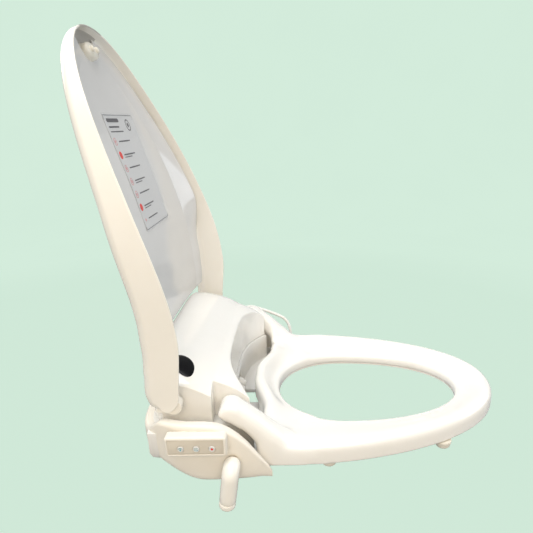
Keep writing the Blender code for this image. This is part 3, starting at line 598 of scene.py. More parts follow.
seat = {"halfWidth": 187.5, "widestY": -129.0, "tipY": -464.6, "bottom": 12.0, "crest": 44.0,
        "holeWidth": 106.0, "holeWidestY": -215.0, "holeRearY": -107.0, "holeTipY": -405.0,
        "axis": (-52.0, 93.0), "stations": 200, "voxel": 0.0021,
        "nozzleWay": ((-55, -96, 0), (55, -40, 28))}
armRidge = curveThrough([(-150, 20), (-138, 38), (-128, 48.5), (-118, 57), (-104, 69), (-91, 81.5), (-77, 93),
                         (-66, 101.5), (-58, 106.5), (-50, 109.6), (-42, 107.8), (-36, 102), (-33, 95.5)])


def rearLipY(x):
    return -66.0 - 20.0 * easeStep(15.0, 100.0, x) + 5.0 * easeStep(130.0, 180.0, x)


def rearLipZ(x):
    return 61.0 - 5.0 * easeStep(20.0, 100.0, x) - 7.0 * easeStep(100.0, 175.0, x)


def insideSeat(x, y):
    if y > seat["widestY"]:
        return x < seat["halfWidth"] and y < rearLipY(x)
    t = (seat["widestY"] - y) / (seat["widestY"] - seat["tipY"])
    return t < 1.0 and x < seat["halfWidth"] * (1 - t**1.853) ** (1 / 2.13)


def insideHole(x, y):
    ahead = y < seat["holeWidestY"]
    reach = seat["holeWidestY"] - seat["holeTipY"] if ahead else seat["holeRearY"] - seat["holeWidestY"]
    t = abs(y - seat["holeWidestY"]) / reach
    return t < 1 and x < seat["holeWidth"] * (1 - t**2.1) ** (1 / 2.15)


def reachOut(angle, inside, limit):  # walks out from the middle of the seat to an outline
    ux, uy = math.sin(angle), -math.cos(angle)
    low, high = 0.0, limit
    for _ in range(40):
        mid = 0.5 * (low + high)
        if inside(abs(ux * mid), -230.0 + uy * mid):
            low = mid
        else:
            high = mid
    return ux * low, -230.0 + uy * low


def armTop(x, y):  # crowned top of the hinge arm, far below the seat away from it
    across = abs(x)
    drop = 26.0 * max(across - 166.0, 0.0) ** 2 / 21.5**2 + 3.0 * max(158.0 - across, 0.0) ** 2 / 25.0
    return armRidge(y) - drop if across > 140 else 0.0


def seatStations():  # more stations round the rear corners
    angles = []
    for k in range(seat["stations"]):
        t = k / seat["stations"]
        a = 2 * math.pi * t
        angles.append(a - 0.10 * math.sin(4 * math.pi * t + math.pi) * math.sin(math.pi * t) ** 2)
    return angles


def seatTopPoint(inner, outer, place, span, z):
    t = place / span
    x, y = inner[0] + (outer[0] - inner[0]) * t, inner[1] + (outer[1] - inner[1]) * t
    rise = armTop(x, y)
    if rise > z - 12 and y > -150:
        z = softMax(z, rise, 14.0)
    return x, y, z


def seatSpan(angle):  # the ring's inner and outer edge, and how far apart they are
    inner, outer = reachOut(angle, insideHole, 260.0), reachOut(angle, insideSeat, 330.0)
    return inner, outer, math.dist(inner, outer)


def seatLoop(angle):
    inner, outer, span = seatSpan(angle)
    rear = easeStep(-125.0, -88.0, outer[1])
    crest = seat["crest"] + rear * (rearLipZ(abs(outer[0])) - seat["crest"])
    inside = 33.0 + 3.0 * rear
    rise = crest - inside
    under = seat["bottom"]
    loop = [(1.2, under + 3.4), (0.2, under + 4.6), (0.0, under + 7), (0.0, inside - 12), (0.35, inside - 8),
            (1.3, inside - 4.6), (3.0, inside - 2.1), (5.6, inside - 0.5), (9.0, inside + 0.3)]
    for k in range(1, 12):
        u = k / 12
        climb = 0.30 * u + 0.70 * u * u * (3 - 2 * u)
        loop.append((9.0 + (span - 22.0) * u, inside + 0.3 + (rise - 0.3) * climb))
    loop += [(span - 9.5, crest - 0.15), (span - 6.5, crest - 1.1), (span - 4.0, crest - 2.8),
             (span - 2.0, crest - 5.2), (span - 0.8, crest - 8.2), (span - 0.15, crest - 12),
             (span, crest - 16)]
    points = [seatTopPoint(inner, outer, place, span, z) for place, z in loop]
    edge = points[-1]
    foot = seat["bottom"] + 0.6
    for share in (0.25, 0.5, 0.75, 0.93):
        points.append((edge[0], edge[1], edge[2] + (foot - edge[2]) * share))
    ux, uy = (inner[0] - outer[0]) / span, (inner[1] - outer[1]) / span
    for inset, z in ((0.25, foot - 0.3), (0.9, foot - 0.55), (2.6, foot - 0.55), (2.9, foot + 1.6),
                     (span * 0.5, foot + 1.6)):
        points.append((edge[0] + ux * inset, edge[1] + uy * inset, z))
    points.append((inner[0] - ux * 4.0, inner[1] - uy * 4.0, foot + 1.6))
    return points


def makeArm(side):  # the free part of a hinge arm, behind the ring
    rings = []
    under = curveThrough([(-118, 14), (-112, 15), (-104, 16.5), (-86, 39), (-65, 65), (-50, 77), (-41, 82.5),
                          (-36, 87), (-33.6, 91.5), (-33, 94.5)])
    for y in (-118, -112, -104, -97, -91, -84, -77, -71, -66, -61, -56, -51, -47, -43.5, -40.5, -38, -36,
              -34.4, -33.4, -33):
        high, low = armRidge(y), under(y)
        high = max(high, low + 0.4)
        ring = []
        middle, tall = 0.5 * (high + low), 0.5 * (high - low)
        for t in turnsRound(44):
            c, s = math.cos(t), math.sin(t)
            if s >= 0:  # crowned top: broad outer shoulder, tighter inner one
                x, z = bulge(c, 0.62 if c > 0 else 0.42), bulge(s, 0.85 if c > 0 else 0.5)
            else:
                x, z = bulge(c, 0.35), bulge(s, 0.45)
            ring.append((side * (170.2 + 17.2 * x), y, middle + tall * z))
        rings.append(ring)
    return loft("arm", rings, seatFinish)


def relaxNear(piece, rounds, inRegion=lambda p: True):  # smooths the mesh inside a region
    work = bmesh.new()
    work.from_mesh(piece.data)
    chosen = [v for v in work.verts if inRegion(v.co / mm)]
    for _ in range(rounds):
        bmesh.ops.smooth_vert(work, verts=chosen, factor=0.5, use_axis_x=True, use_axis_y=True,
                              use_axis_z=True)
    work.to_mesh(piece.data)
    work.free()


def makeSeatShell():
    shell = loft("seatShell", [seatLoop(angle) for angle in seatStations()], seatFinish, closed=True)
    for side in (-1, 1):
        carve(shell, makeArm(side), "UNION")
    reshape(shell, "REMESH", mode="VOXEL", voxel_size=seat["voxel"])
    relaxNear(shell, 5)
    relaxNear(shell, 30, lambda p: -165 < p.y < -60 and abs(p.x) > 118 and p.z > 26)  # where the arms join
    for side in (-1, 1):
        drill(shell, (side * 140, *seat["axis"]), (side, 0, 0), 6.4, 37, 48)
    cutBox(shell, *seat["nozzleWay"])
    shell.data.shade_smooth()
    return creaseOver(shell, 50)


def makeSeatPlate():  # the bottom plate, stepped along the middle to stiffen it
    rings = []
    for angle in turnsRound(120):
        inner, outer, span = seatSpan(angle)
        ring = []
        for place, z in ((1.6, 13.0), (2.4, 12.3), (span * 0.3, 12.3), (span * 0.3 + 1.2, 13.6),
                         (span * 0.7, 13.6), (span * 0.7 + 1.2, 12.3), (span - 4.4, 12.3), (span - 3.6, 13.0),
                         (span - 3.6, 15.0), (span * 0.5, 15.4), (1.6, 15.0)):
            t = place / span
            ring.append((inner[0] + (outer[0] - inner[0]) * t, inner[1] + (outer[1] - inner[1]) * t, z))
        rings.append(ring)
    plate = loft("seatPlate", rings, seatFinish, closed=True)
    cutBox(plate, *seat["nozzleWay"])
    return roundEdges(plate, 0.3, 2)


def crossHead(radius):  # pan head with a cross recess, pointing down
    head = lathe("head", (0, 0, 0), (0, 0, -1), [(0, radius), (0.5, radius), (1.1, radius * 0.86),
                                                 (1.45, radius * 0.5), (1.5, 0.3)], None, 20)
    for long, wide in ((0.42, radius * 0.62), (radius * 0.62, 0.42)):
        cutBox(head, (-long, -wide, -2.2), (long, wide, -0.7))
    return head


def makeSeatFeet():
    spots = [(x, y, 11.8) for x, y in ((-166, -182), (166, -182), (-130, -354), (130, -354))]
    profile = [(0, 11.8), (0.8, 12.2), (4.6, 11.8), (5.2, 11.2), (5.6, 11.2), (9.6, 10.4), (11.0, 9.2),
               (11.7, 7.4), (11.8, 4.4), (11.2, 3.6), (10.9, 1.0)]
    foot = lathe("foot", (0, 0, 0), (0, 0, -1), profile, padFinish, 40)
    return copyTo("seatFeet", foot, padFinish, spots)


def makeSeatScrews():
    spots = []
    for degrees in (18, 52, 88, 122, 238, 272, 308, 342):
        inner, outer, _ = seatSpan(math.radians(degrees))
        spots.append(((inner[0] + outer[0]) / 2, (inner[1] + outer[1]) / 2, 13.9))
    return copyTo("seatScrews", crossHead(2.9), steelFinish, spots)


keepOn(makeSeatShell(), "seat", "seat_white", "seat_top")
keepOn(makeSeatPlate(), "seat", "seat_white", "seat_bottom")
keepOn(makeSeatFeet(), "seat", "rubber_grey", "seat_foot_rear_near", "seat_foot_rear_far",
       "seat_foot_front_near", "seat_foot_front_far")
keepOn(makeSeatScrews(), "seat", "steel")
print("seat done")


# Lid: drawn closed, then swung back to its open rest

lid = {"halfWidth": 193.0, "widestY": -125.0, "tipY": -456.5, "axis": (24.0, 109.0), "openAngle": 109.5,
       "wall": 2.6, "panelEndY": -31.0, "armInner": 17.4, "cells": 16}
rimHeight = curveThrough([(-460, 57.4), (-428, 56.5), (-380, 54.5), (-313, 50.5), (-273, 48.6), (-231, 47.4),
                          (-186, 47.2), (-141, 48.6), (-110, 51.8), (-92, 54.5), (-75, 58.5), (-58, 62.5),
                          (-37, 71), (-22, 78), (-6, 85.5), (9, 93), (60, 110)])
skirtDepth = curveThrough([(-460, 22), (-400, 26), (-320, 32), (-247, 38), (-180, 45), (-110, 49), (-54, 53),
                           (-20, 53), (60, 40)])
edgeDrop = curveThrough([(0, 13.5), (0.4, 11.6), (1.3, 9.6), (3.0, 6.7), (5.5, 4.2), (8.5, 2.6), (12.5, 1.4),
                         (17.4, 0.6), (24, 0.15), (32, 0.0), (400, 0.0)])


def swungOpen(piece):
    at = Vector((0.0, *lid["axis"])) * mm
    turn = Matrix.Rotation(-math.radians(lid["openAngle"]), 4, "X")
    piece.data.transform(Matrix.Translation(at) @ turn @ Matrix.Translation(-at))
    return piece


def lidScale(x, y):  # how far out a point lies between the lid's middle and its outline
    t = (-215.0 - y) / (-215.0 - lid["tipY"])
    low, high = 0.01, 1.0
    for _ in range(24):
        s = 0.5 * (low + high)
        u = (lid["widestY"] + 215.0 - (y + 215.0) / s) / (lid["widestY"] - lid["tipY"])
        reach = lid["halfWidth"] if u < 0 else lid["halfWidth"] * max(1 - u**1.853, 0.0) ** (1 / 2.13)
        low, high = (s, high) if abs(x) / s > reach or t > s else (low, s)
    return high


def lidTop(x, y):
    return rimHeight(y) + skirtDepth(y) + 10.0 * (1 - min(lidScale(x, y), 1.0) ** 2.5)


def lidEdge(angle):  # outline point and outward direction; angle 0 is the tip, 90 degrees the widest place
    def at(a):
        s, c = math.sin(abs(a)), math.cos(a)
        return Vector((math.copysign(lid["halfWidth"] * max(s, 0) ** (2 / 2.13), a),
                       lid["widestY"] - (lid["widestY"] - lid["tipY"]) * max(c, 0) ** (2 / 1.853)))
    step = 0.004
    low, high = max(angle - step, -math.pi / 2), min(angle + step, math.pi / 2)
    along = (at(high) - at(low)).normalized()
    return at(angle), Vector((along.y, -along.x))


def gridAngles():  # the square grid's border, as angles round the outline from the far side to the near side
    n = lid["cells"]
    border = [(1.0, v / n) for v in range(n + 1)]
    border += [(1 - 2 * u / (2 * n), 1.0) for u in range(1, 2 * n + 1)]
    border += [(-1.0, 1 - v / n) for v in range(1, n + 1)]
    out = []
    for u, v in border:
        cx, cy = u * math.sqrt(1 - v * v / 2), v * math.sqrt(1 - u * u / 2)
        out.append(math.atan2(cx, cy))
    return border, out


def dishGrid(insets, rearRows, heightAt):
    # A dish with no pole: a square grid in the middle, rings round it, straight rows towards the hinge.
    n = lid["cells"]
    border, angles = gridAngles()
    widest = insets[0]
    points, faces, index = [], [], {}

    def put(key, x, y, inset):
        if key not in index:
            index[key] = len(points)
            points.append((x, y, heightAt(x, y, inset)))
        return index[key]

    def middle(iu, iv):
        u, v = iu / n - 1.0, iv / n
        cx, cy = u * math.sqrt(1 - v * v / 2), v * math.sqrt(1 - u * u / 2)
        size = math.hypot(cx, cy)
        spot, out = lidEdge(math.atan2(cx, cy)) if size > 1e-6 else (Vector((0, -300)), Vector((0, 0)))
        q = spot - out * widest - Vector((0, lid["widestY"]))
        return put(("m", iu, iv), q.x * size if size > 1e-6 else 0.0, lid["widestY"] + q.y * size, widest)

    def ring(k, j):  # k along the border, j the inset step
        if j == 0:
            u, v = border[k]
            return middle(round((u + 1) * n), round(v * n))
        spot, out = lidEdge(angles[k])
        p = spot - out * insets[j]
        return put(("r", k, j), p.x, p.y, insets[j])

    def row(r, c):  # r rows behind the widest place; c over the whole width
        count = len(insets) - 1
        width = 2 * n
        if r == 0:
            if c < count:
                return ring(len(border) - 1, count - c)
            if c <= count + width:
                return middle(c - count, 0)
            return ring(0, c - count - width)
        y = rearRows[r - 1]
        if c < count:
            inset = insets[count - c]
            return put(("b", r, c), -(lid["halfWidth"] - inset), y, inset)
        if c <= count + width:
            x = (lid["halfWidth"] - widest) * ((c - count) / n - 1.0)
            return put(("b", r, c), x, y, widest)
        inset = insets[c - count - width]
        return put(("b", r, c), lid["halfWidth"] - inset, y, inset)

    for iu in range(2 * n):
        for iv in range(n):
            faces.append((middle(iu, iv), middle(iu + 1, iv), middle(iu + 1, iv + 1), middle(iu, iv + 1)))
    for k in range(len(border) - 1):
        for j in range(len(insets) - 1):
            faces.append((ring(k, j), ring(k, j + 1), ring(k + 1, j + 1), ring(k + 1, j)))
    columns = 2 * n + 2 * (len(insets) - 1)
    for r in range(len(rearRows)):
        for c in range(columns):
            faces.append((row(r, c), row(r, c + 1), row(r + 1, c + 1), row(r + 1, c)))
    return points, faces, index


def makeLidShell():
    # negative insets are steps down the skirt
    insets = [40.0, 31.0, 24.0, 18.6, 17.4, 12.5, 8.5, 5.5, 3.0, 1.3, 0.4, 0.0, -0.3, -0.6, -0.9, -1.0]

    def heightAt(x, y, inset):
        if inset > 0:
            return lidTop(x, y) - edgeDrop(inset)
        top, low = lidTop(x, y) - 13.5, rimHeight(y)
        return top + (low + 1.4 - top) * min(-inset / 0.9, 1.0) - (1.4 if inset < -0.95 else 0.0)

    rows = [-113, -101, -89, -77, -65, -54, -44, -36, -32.4, lid["panelEndY"]]
    points, faces = dishGridSkirt(insets, rows, heightAt)
    shell = makePiece("lidShell", points, faces, shellFinish)
    thicken(shell, lid["wall"])
    subdivide(shell, 2)
    # faces of the shell's underside round the tip boss get the painted shade, a dark colour for the pocket's
    # shadow
    shell.data.materials.append(tipPaintedShade)
    for face in shell.data.polygons:
        middle = face.center / mm
        if face.normal.z < -0.3 and math.hypot(middle.x, middle.y + 446) < 36:
            face.material_index = 1
    return swungOpen(shell)


def dishGridSkirt(insets, rows, heightAt):
    top = [i for i in insets if i >= 0]
    points, faces, index = dishGrid(top, rows, heightAt)
    down = [i for i in insets if i < 0]
    loop = []  # the outer edge, from the far arm's root round the tip to the near arm's root
    count, width = len(top) - 1, 2 * lid["cells"]
    for r in range(len(rows), 0, -1):
        loop.append(index[("b", r, 2 * count + width)])
    loop += [index[("r", k, count)] for k in range(len(gridAngles()[0]))]
    for r in range(1, len(rows) + 1):
        loop.append(index[("b", r, 0)])
    previous = loop
    for inset in down:
        nextLoop = []
        for i in loop:
            x, y, _ = points[i]
            nextLoop.append(len(points))
            points.append((x, y, heightAt(x, y, inset)))
        for a in range(len(loop) - 1):
            faces.append((previous[a], previous[a + 1], nextLoop[a + 1], nextLoop[a]))
        previous = nextLoop
    armSides(points, faces, index, top, down, rows, heightAt)
    return points, faces


def armSides(points, faces, index, top, down, rows, heightAt):
    # The side skirts run on past the panel as two arms with round ends, down to the hinge.
    count, width = len(top) - 1, 2 * lid["cells"]
    keep = [j for j, inset in enumerate(top) if inset <= lid["armInner"] + 0.01]
    end = lid["panelEndY"]
    topLine = alongPath([(0, end, lidTop(190, end)), (0, -18, lidTop(190, -18)), (0, -5, lidTop(190, -5)),
                         (0, 4, 139.6), (0, 11, 139.6), (0, 17.5, 137), (0, 23.5, 131.5), (0, 27.4, 124.5),
                         (0, 28.5, 117.5)], 3.0)
    rimLine = alongPath([(0, end, rimHeight(end)), (0, -18, rimHeight(-18)), (0, -6, rimHeight(-6)),
                         (0, 4, 90.6), (0, 12, 93.4), (0, 19, 98), (0, 24.6, 104), (0, 27.8, 110.6),
                         (0, 28.5, 117.5)], 3.0)
    steps = 18

    def pick(line, t):
        at = t * (len(line) - 1)
        i = min(int(at), len(line) - 2)
        return line[i].lerp(line[i + 1], at - i)

    for side in (1, -1):
        previous = []
        for j in keep:
            column = count + width + j if side > 0 else count - j
            previous.append(index[("b", len(rows), column)])
        x, y, _ = points[previous[-1]]
        for inset in down:
            target = (x, y, heightAt(x, y, inset))
            previous.append(min(range(len(points)), key=lambda i: math.dist(points[i], target)))
        for k in range(1, steps + 1):
            t = 1 - (1 - k / steps) ** 1.25
            high, low = pick(topLine, t), pick(rimLine, t)
            ahead = pick(topLine, min(t + 0.02, 1)) - pick(topLine, max(t - 0.02, 0))
            out = Vector((0, -ahead.z, ahead.y)).normalized()
            if out.z < 0 and t < 0.5:
                out = -out
            gap = (high - low).length
            size = min(1.0, gap / 30.0)
            current = []
            for j in keep:
                drop = out * (-edgeDrop(top[j]) * size)
                current.append(len(points))
                points.append((side * (lid["halfWidth"] - top[j]), high.y + drop.y, high.z + drop.z))
            corner = high - out * (13.5 * size)
            for inset in down:
                share = min(-inset / 0.9, 1.0) * (1 - 1.4 / max(gap, 3.0)) if inset > -0.95 else 1.0
                spot = corner.lerp(low, share)
                current.append(len(points))
                points.append((side * lid["halfWidth"], spot.y, spot.z))
            for a in range(len(current) - 1):
                faces.append((previous[a], previous[a + 1], current[a + 1], current[a]))
            previous = current


def linerDrop(y):
    return 3.2 + 6.0 * (1 - easeStep(-190.0, -110.0, y))


def linerFace(x, y):
    return lidTop(x, y) - linerDrop(y) - 1.8


def makeLidLiner():  # polished inner panel with a bevelled border
    insets = [40.0, 36.8, 35.6, 34.0, 26.0, 17.4, 10.0, 6.0, 4.6, 4.2]

    def heightAt(x, y, inset):
        flat = linerFace(x, y)
        deep = rimHeight(y) + 14.0
        blend = easeStep(-200.0, -115.0, y)
        edge = deep * (1 - blend) + max(rimHeight(y) + skirtDepth(y) - 7.4, deep) * blend
        share = min(max((35.6 - inset) / (35.6 - 4.6), 0.0), 1.0)
        return flat + (edge - flat) * share

    rows = [-113, -101, -89, -77, -65, -54, -44, -36, -33.4, -32.3]
    points, faces, _ = dishGrid(insets, rows, heightAt)
    liner = makePiece("lidLiner", points, faces, linerFinish)
    if sum(p.normal.z for p in liner.data.polygons) > 0:
        liner.data.flip_normals()
    thicken(liner, 1.5)
    subdivide(liner, 2)
    drill(liner, (0, -446, 40), (0, 0, 1), 29, 70, 96)  # scallop round the tip boss
    liner.data.shade_smooth()
    return swungOpen(creaseOver(liner, 38))


label = {"low": (-43.0, -347.0), "high": (72.0, -182.0), "rows": 7, "pitch": 18.6, "iconX": -33.0}


def makeLabel():
    rings = []
    for y in np.linspace(label["low"][1], label["high"][1], 28):
        xs = np.linspace(label["low"][0], label["high"][0], 22)
        top = [(float(x), float(y), linerFace(x, y) - 0.25) for x in xs]
        rings.append(top + [(x, y2, z - 0.35) for x, y2, z in top[::-1]])
    sheet = loft("lidLabel", rings, stockFinish, smooth=False)
    sheet.data.shade_smooth()
    return swungOpen(creaseOver(sheet, 38))


def wrapOnLabel(piece):  # flat print, drawn in x and y, laid on the label's face
    for v in piece.data.vertices:
        x, y, h = v.co / mm
        v.co = Vector((x, y, linerFace(x, y) - 0.62 - h)) * mm
    cleanMesh(piece.data)
    return swungOpen(piece)


def makeLabelPrint():  # generic bars and round signs, no lettering
    made = []
    pitch, iconX = label["pitch"], label["iconX"]
    first = label["low"][1] + 38

    def bars(count, x, y, long, wide, step=0.0, turn=0.0):
        made.append(barRow(greyInk, count, (x, y, 0), (0, step, 0), (long, wide, 0.12), (0, 0, turn)))

    bars(7, iconX + 37, first, 46, 1.6, pitch)
    bars(6, iconX + 32, first + 0.2, 36, 1.6, pitch)
    bars(3, iconX + 29, first + 3.6 + pitch, 30, 1.2, 2 * pitch)
    for y, long, wide in ((-338, 46, 5.2), (-329, 40, 2.2), (-322.5, 50, 1.4)):
        bars(1, -34 + long / 2, y, long, wide)
    for y in (-345, -184):  # the printed frame
        bars(1, 14.5, y, 111, 0.6)
    for x in (-41.5, 70.5):
        bars(1, x, -264.5, 161, 0.6, turn=math.pi / 2)
    made.append(roundSign("seal", [(44, -331)], 8.5, 6.9, greyInk))
    made.append(roundSign("sealDot", [(44, -331)], 3.2, 0.0, greyInk))
    grey = joinPieces(*made)
    grey.name = "labelPrint"
    spots = [(iconX, first + pitch * k) for k in range(label["rows"])]
    solid = roundSign("labelSigns", [spots[1], spots[5]], 5.4, 0.0, redInk)
    circles = roundSign("labelRings", [spots[0], *spots[2:5]], 5.2, 4.3, pinkInk)
    dots = roundSign("dots", [spots[0], *spots[2:5], spots[6]], 2.1, 0.0, pinkInk)
    return [wrapOnLabel(piece) for piece in (grey, solid, joinPieces(circles, dots))]


def roundSign(name, spots, outer, inner, finish):  # rings, or discs where inner is 0
    points, faces = [], []
    sides = 36
    for cx, cy in spots:
        base = len(points)
        for radius, h in ((outer, 0.0), (outer, 0.12), (inner, 0.12), (inner, 0.0)):
            points += [(cx + radius * math.cos(t), cy + radius * math.sin(t), h) for t in turnsRound(sides)]
        for level in range(4 if inner else 1):
            a, b = base + level * sides, base + ((level + 1) % 4) * sides
            faces += [(a + i, a + (i + 1) % sides, b + (i + 1) % sides, b + i) for i in range(sides)]
        if not inner:
            faces.append(tuple(base + i for i in range(sides))[::-1])
            faces.append(tuple(base + sides + i for i in range(sides)))
    return makePiece(name, points, faces, finish, smooth=False, weld=0.000001)


def makeBoss():
    y, top = -428.0, rimHeight(-428.0) + skirtDepth(-428.0) - 5.0
    rings = []
    for size, h in ((1.12, 1.0), (1.10, -0.6), (1.02, -1.6), (1.0, -3.0), (0.98, -6.6), (0.93, -9.0),
                    (0.82, -10.4), (0.6, -11.2), (0.3, -11.5)):
        rings.append([(20 * size * math.cos(a), y + 12 * size * math.sin(a), top + h)
                      for a in turnsRound(64)])
    boss = creaseOver(swungOpen(loft("lidBoss", rings, bossFinish)), 50)
    pads = []
    for name, x in (("lidPadNear", -8.0), ("lidPadFar", 8.0)):
        pad = lathe(name, (x, y, top - 10.2), (0, 0, -1), [(0, 4.6), (1.2, 4.6), (1.6, 4.0), (3.4, 3.9),
                                                          (4.3, 3.2), (4.7, 2.0), (4.8, 0.6)], padFinish, 32)
        pads.append(swungOpen(pad))
    return boss, pads


keepOn(makeLidShell(), "lid", "shell_white", "lid_shell")
keepOn(makeLidLiner(), "lid", "liner_grey", "lid_liner")
keepOn(makeLabel(), "lid", "label_white", "lid_label")
for printed in makeLabelPrint():
    keepOn(printed, "lid", "label_white")
bossPiece, padPieces = makeBoss()
keepOn(bossPiece, "lid", "tank_cream", "lid_tip_boss")
keepOn(padPieces[0], "lid", "rubber_grey", "lid_pad_near")
keepOn(padPieces[1], "lid", "rubber_grey", "lid_pad_far")
print("lid done")


# Housing

housing = {"splitY": -23.0, "rearY": 68.0, "deck": 71.7, "ledge": 57.4, "wingInner": 194.4,
           "wingTaperY": 12.0, "coverWall": 3.0, "bottom": 3.0}
spine = curveThrough([(-86, 84), (-80, 91), (-74, 99), (-66, 107), (-54, 117), (-40, 123.5), (-25, 129.5),
                      (-8, 139), (6, 145), (25, 150), (45, 153.4), (58, 153.4), (66, 148.4), (72, 140.5)])


def coverTop(x, y):
    return spine(y) - 5.0 * (abs(x) / 150.0) ** 9


def frontEdge(x, reach=0.0):
    return -35.0 - 38.0 * min(abs(x) / 150.0, 1.0) ** 4 - reach


def coverRear(x):
    return housing["rearY"] - 24.0 * (max(abs(x) - 100.0, 0.0) / 72.0) ** 3.2


def makeCover():
    half = [0, 12, 24, 36, 49, 62, 75, 88, 100, 111, 121, 130, 137, 142.5, 146, 148, 149.5]
    sideways = [151.2, 155, 160, 165.5, 169, 170.6, 172.0]
    inner = [-x for x in half[:0:-1]] + half
    wide = [-x for x in sideways[::-1]] + inner + sideways
    points, faces, index = [], [], {}

    def put(x, y):
        key = (round(x, 3), round(y, 3))
        if key not in index:
            index[key] = len(points)
            points.append((x, y, coverTop(x, y)))
        return index[key]

    def frontRow(x, t):
        y0 = frontEdge(x)
        deep = housing["splitY"] - y0
        inset = min(5.0, deep * 0.4)
        places = [0.0, inset, inset + (deep - inset) * 0.3, inset + (deep - inset) * 0.62,
                  inset + (deep - inset) * 0.88, deep]
        return y0 + places[t]

    rows = [-23, -21.4, -16, -8, 2, 13, 24, 35, 45, 54, 61, 65.4, 68]

    def rearRow(x, y):
        share = (y - housing["splitY"]) / (housing["rearY"] - housing["splitY"])
        return housing["splitY"] + share * (coverRear(x) - housing["splitY"])

    for a, b in zip(inner, inner[1:]):
        for t in range(5):
            faces.append((put(a, frontRow(a, t)), put(b, frontRow(b, t)), put(b, frontRow(b, t + 1)),
                          put(a, frontRow(a, t + 1))))
    for a, b in zip(wide, wide[1:]):
        for y0, y1 in zip(rows, rows[1:]):
            faces.append((put(a, rearRow(a, y0)), put(b, rearRow(b, y0)), put(b, rearRow(b, y1)),
                          put(a, rearRow(a, y1))))
    cover = makePiece("topCover", points, faces, coverFinish)
    coverWalls(cover)
    thicken(cover, housing["coverWall"])
    subdivide(cover, 2)
    return cover


def coverWalls(cover):
    work = bmesh.new()
    work.from_mesh(cover.data)
    edges = [e for e in work.edges if e.is_boundary]
    for level in range(6):
        grown = bmesh.ops.extrude_edge_only(work, edges=edges)["geom"]
        edges = [g for g in grown if isinstance(g, bmesh.types.BMEdge)]
        for v in [g for g in grown if isinstance(g, bmesh.types.BMVert)]:
            x, y, _ = v.co / mm
            top = coverTop(x, y)
            tight = easeStep(120, 149, abs(x)) if y < -24.0 and abs(x) < 149.0 else 1.0
            low = housing["ledge"] + 0.5 if y < -23.5 and abs(x) < 149.6 else housing["deck"] + 0.4
            heights = [top - (4.6 - 3.2 * tight), top - (11.0 - 6.0 * tight), top - 22.0,
                       0.5 * (top - 22 + low), low + 1.3, low]
            v.co.z = min(heights[level], top - 1.4) * mm
    bmesh.ops.recalc_face_normals(work, faces=work.faces)
    work.to_mesh(cover.data)
    work.free()
    if sum(p.normal.z * p.area for p in cover.data.polygons) < 0:
        cover.data.flip_normals()


def makeWindow():  # a shallow dome that leans with the cover
    rings = []
    for size, lift in ((0.995, -1.6), (1.0, -0.1), (0.985, 0.28), (0.95, 0.48), (0.8, 0.62), (0.5, 0.7),
                       (0.2, 0.72)):
        ring = []
        for a in turnsRound(72):
            along, across = 15.0 * size * bulge(math.sin(a), 0.92), 18.5 * size * bulge(math.cos(a), 0.92)
            x, y = -139.5 + across + 0.5 * along, 17 + along
            ring.append((x, y, coverTop(x, y) + lift))
        rings.append(ring)
    return creaseOver(loft("sensorWindow", rings, windowFinish), 60)


wingCurve = curveThrough([(-104.5, 13), (-101, 20), (-89, 38), (-69, 64.5), (-58, 75.5), (-47, 83.5),
                          (-38, 88), (-27, 91), (-12, 92), (60, 92)])


pod = {"y": (-48.0, 31.0), "z": (55.0, 84.5), "buttons": (10.5, -9.5, -29.5), "buttonZ": 67.4}


def makeWings():  # one closed band: near wing, rear wall, far wing
    path = alongPath([(198.5, -103.6, 0), (203.2, -85, 0), (206.4, -60, 0), (208, -35, 0), (208, -12, 0),
                      (207, 8, 0), (203.5, 27, 0), (195.5, 46, 0), (182, 62, 0), (162, 73, 0), (132, 78.4, 0),
                      (100, 79, 0), (50, 79, 0), (0, 79, 0)], 4.2)
    half = [(p.x, p.y) for p in path]
    line = half + [(-x, y) for x, y in half[-2::-1]]
    rings = []
    for k, (x, y) in enumerate(line):
        a, b = line[max(k - 1, 0)], line[min(k + 1, len(line) - 1)]
        along = Vector((b[0] - a[0], b[1] - a[1])).normalized()
        out = Vector((-along.y, along.x))
        if out.x * x + out.y * (y + 20) < 0:
            out = -out
        corner = easeStep(40, 70, y)
        top = wingCurve(y) * (1 - corner) + housing["deck"] * corner
        lift = (27.0 - 15.0 * easeStep(-60, 60, x)) * easeStep(-15, 62, y)  # the lower rear corners rise
        base = housing["bottom"] + lift * (1 - 0.72 * easeStep(165, 120, abs(x)) * corner)
        body = max(top - base, 0.8)
        scale = min(1.0, body / 34.0)
        deep = 13.4 * (0.35 + 0.65 * min(1.0, body / 14.0))
        if y < housing["wingTaperY"]:
            deep = min(deep, abs(x) - housing["wingInner"])
        small = min(1.0, body / 8.0)
        section = [(deep, base)]
        for inset, rise in ((9.6, 0), (6.6, 0.6), (4.0, 2.6), (2.0, 6.4), (0.8, 12), (0.2, 20), (0, 29)):
            section.append((inset * scale, base + rise * scale))
        low = base + 29 * scale
        shoulder = 5.0 * small
        for share in (0.4, 0.8):
            section.append((0.0, low + max(top - shoulder - low, 0.0) * share))
        for turn in range(0, 91, 18):
            t = math.radians(turn)
            inset = min(shoulder, deep * 0.4) * (1 - math.cos(t))
            section.append((inset, top - shoulder + shoulder * math.sin(t)))
        section += [(deep - 1.6 * small, top), (deep - 0.5 * small, top - 0.5 * small),
                    (deep, top - 1.6 * small)]
        rings.append([(x - out.x * inset, y - out.y * inset, max(z, housing["bottom"]))
                      for inset, z in section])
    band = creaseOver(loft("baseBand", rings, baseFinish), 50)
    for y in pod["buttons"]:
        drill(band, (-216, y, pod["buttonZ"]), (1, 0, 0), 3.6, 30, 24)  # button stem
    drill(band, (190, 8, 52), (1, 0, 0), 5.6, 30)  # lead
    drill(band, (-230, -52, 36), (1, 0, 0), 7.7, 60, 48)  # inlet
    cutBox(band, (168, 24.2, 20.2), (230, 61.8, 35.8))  # cassette bay
    cutBox(band, (-14.4, 60, 29.6), (14.4, 90, 42.4))  # release button
    return band


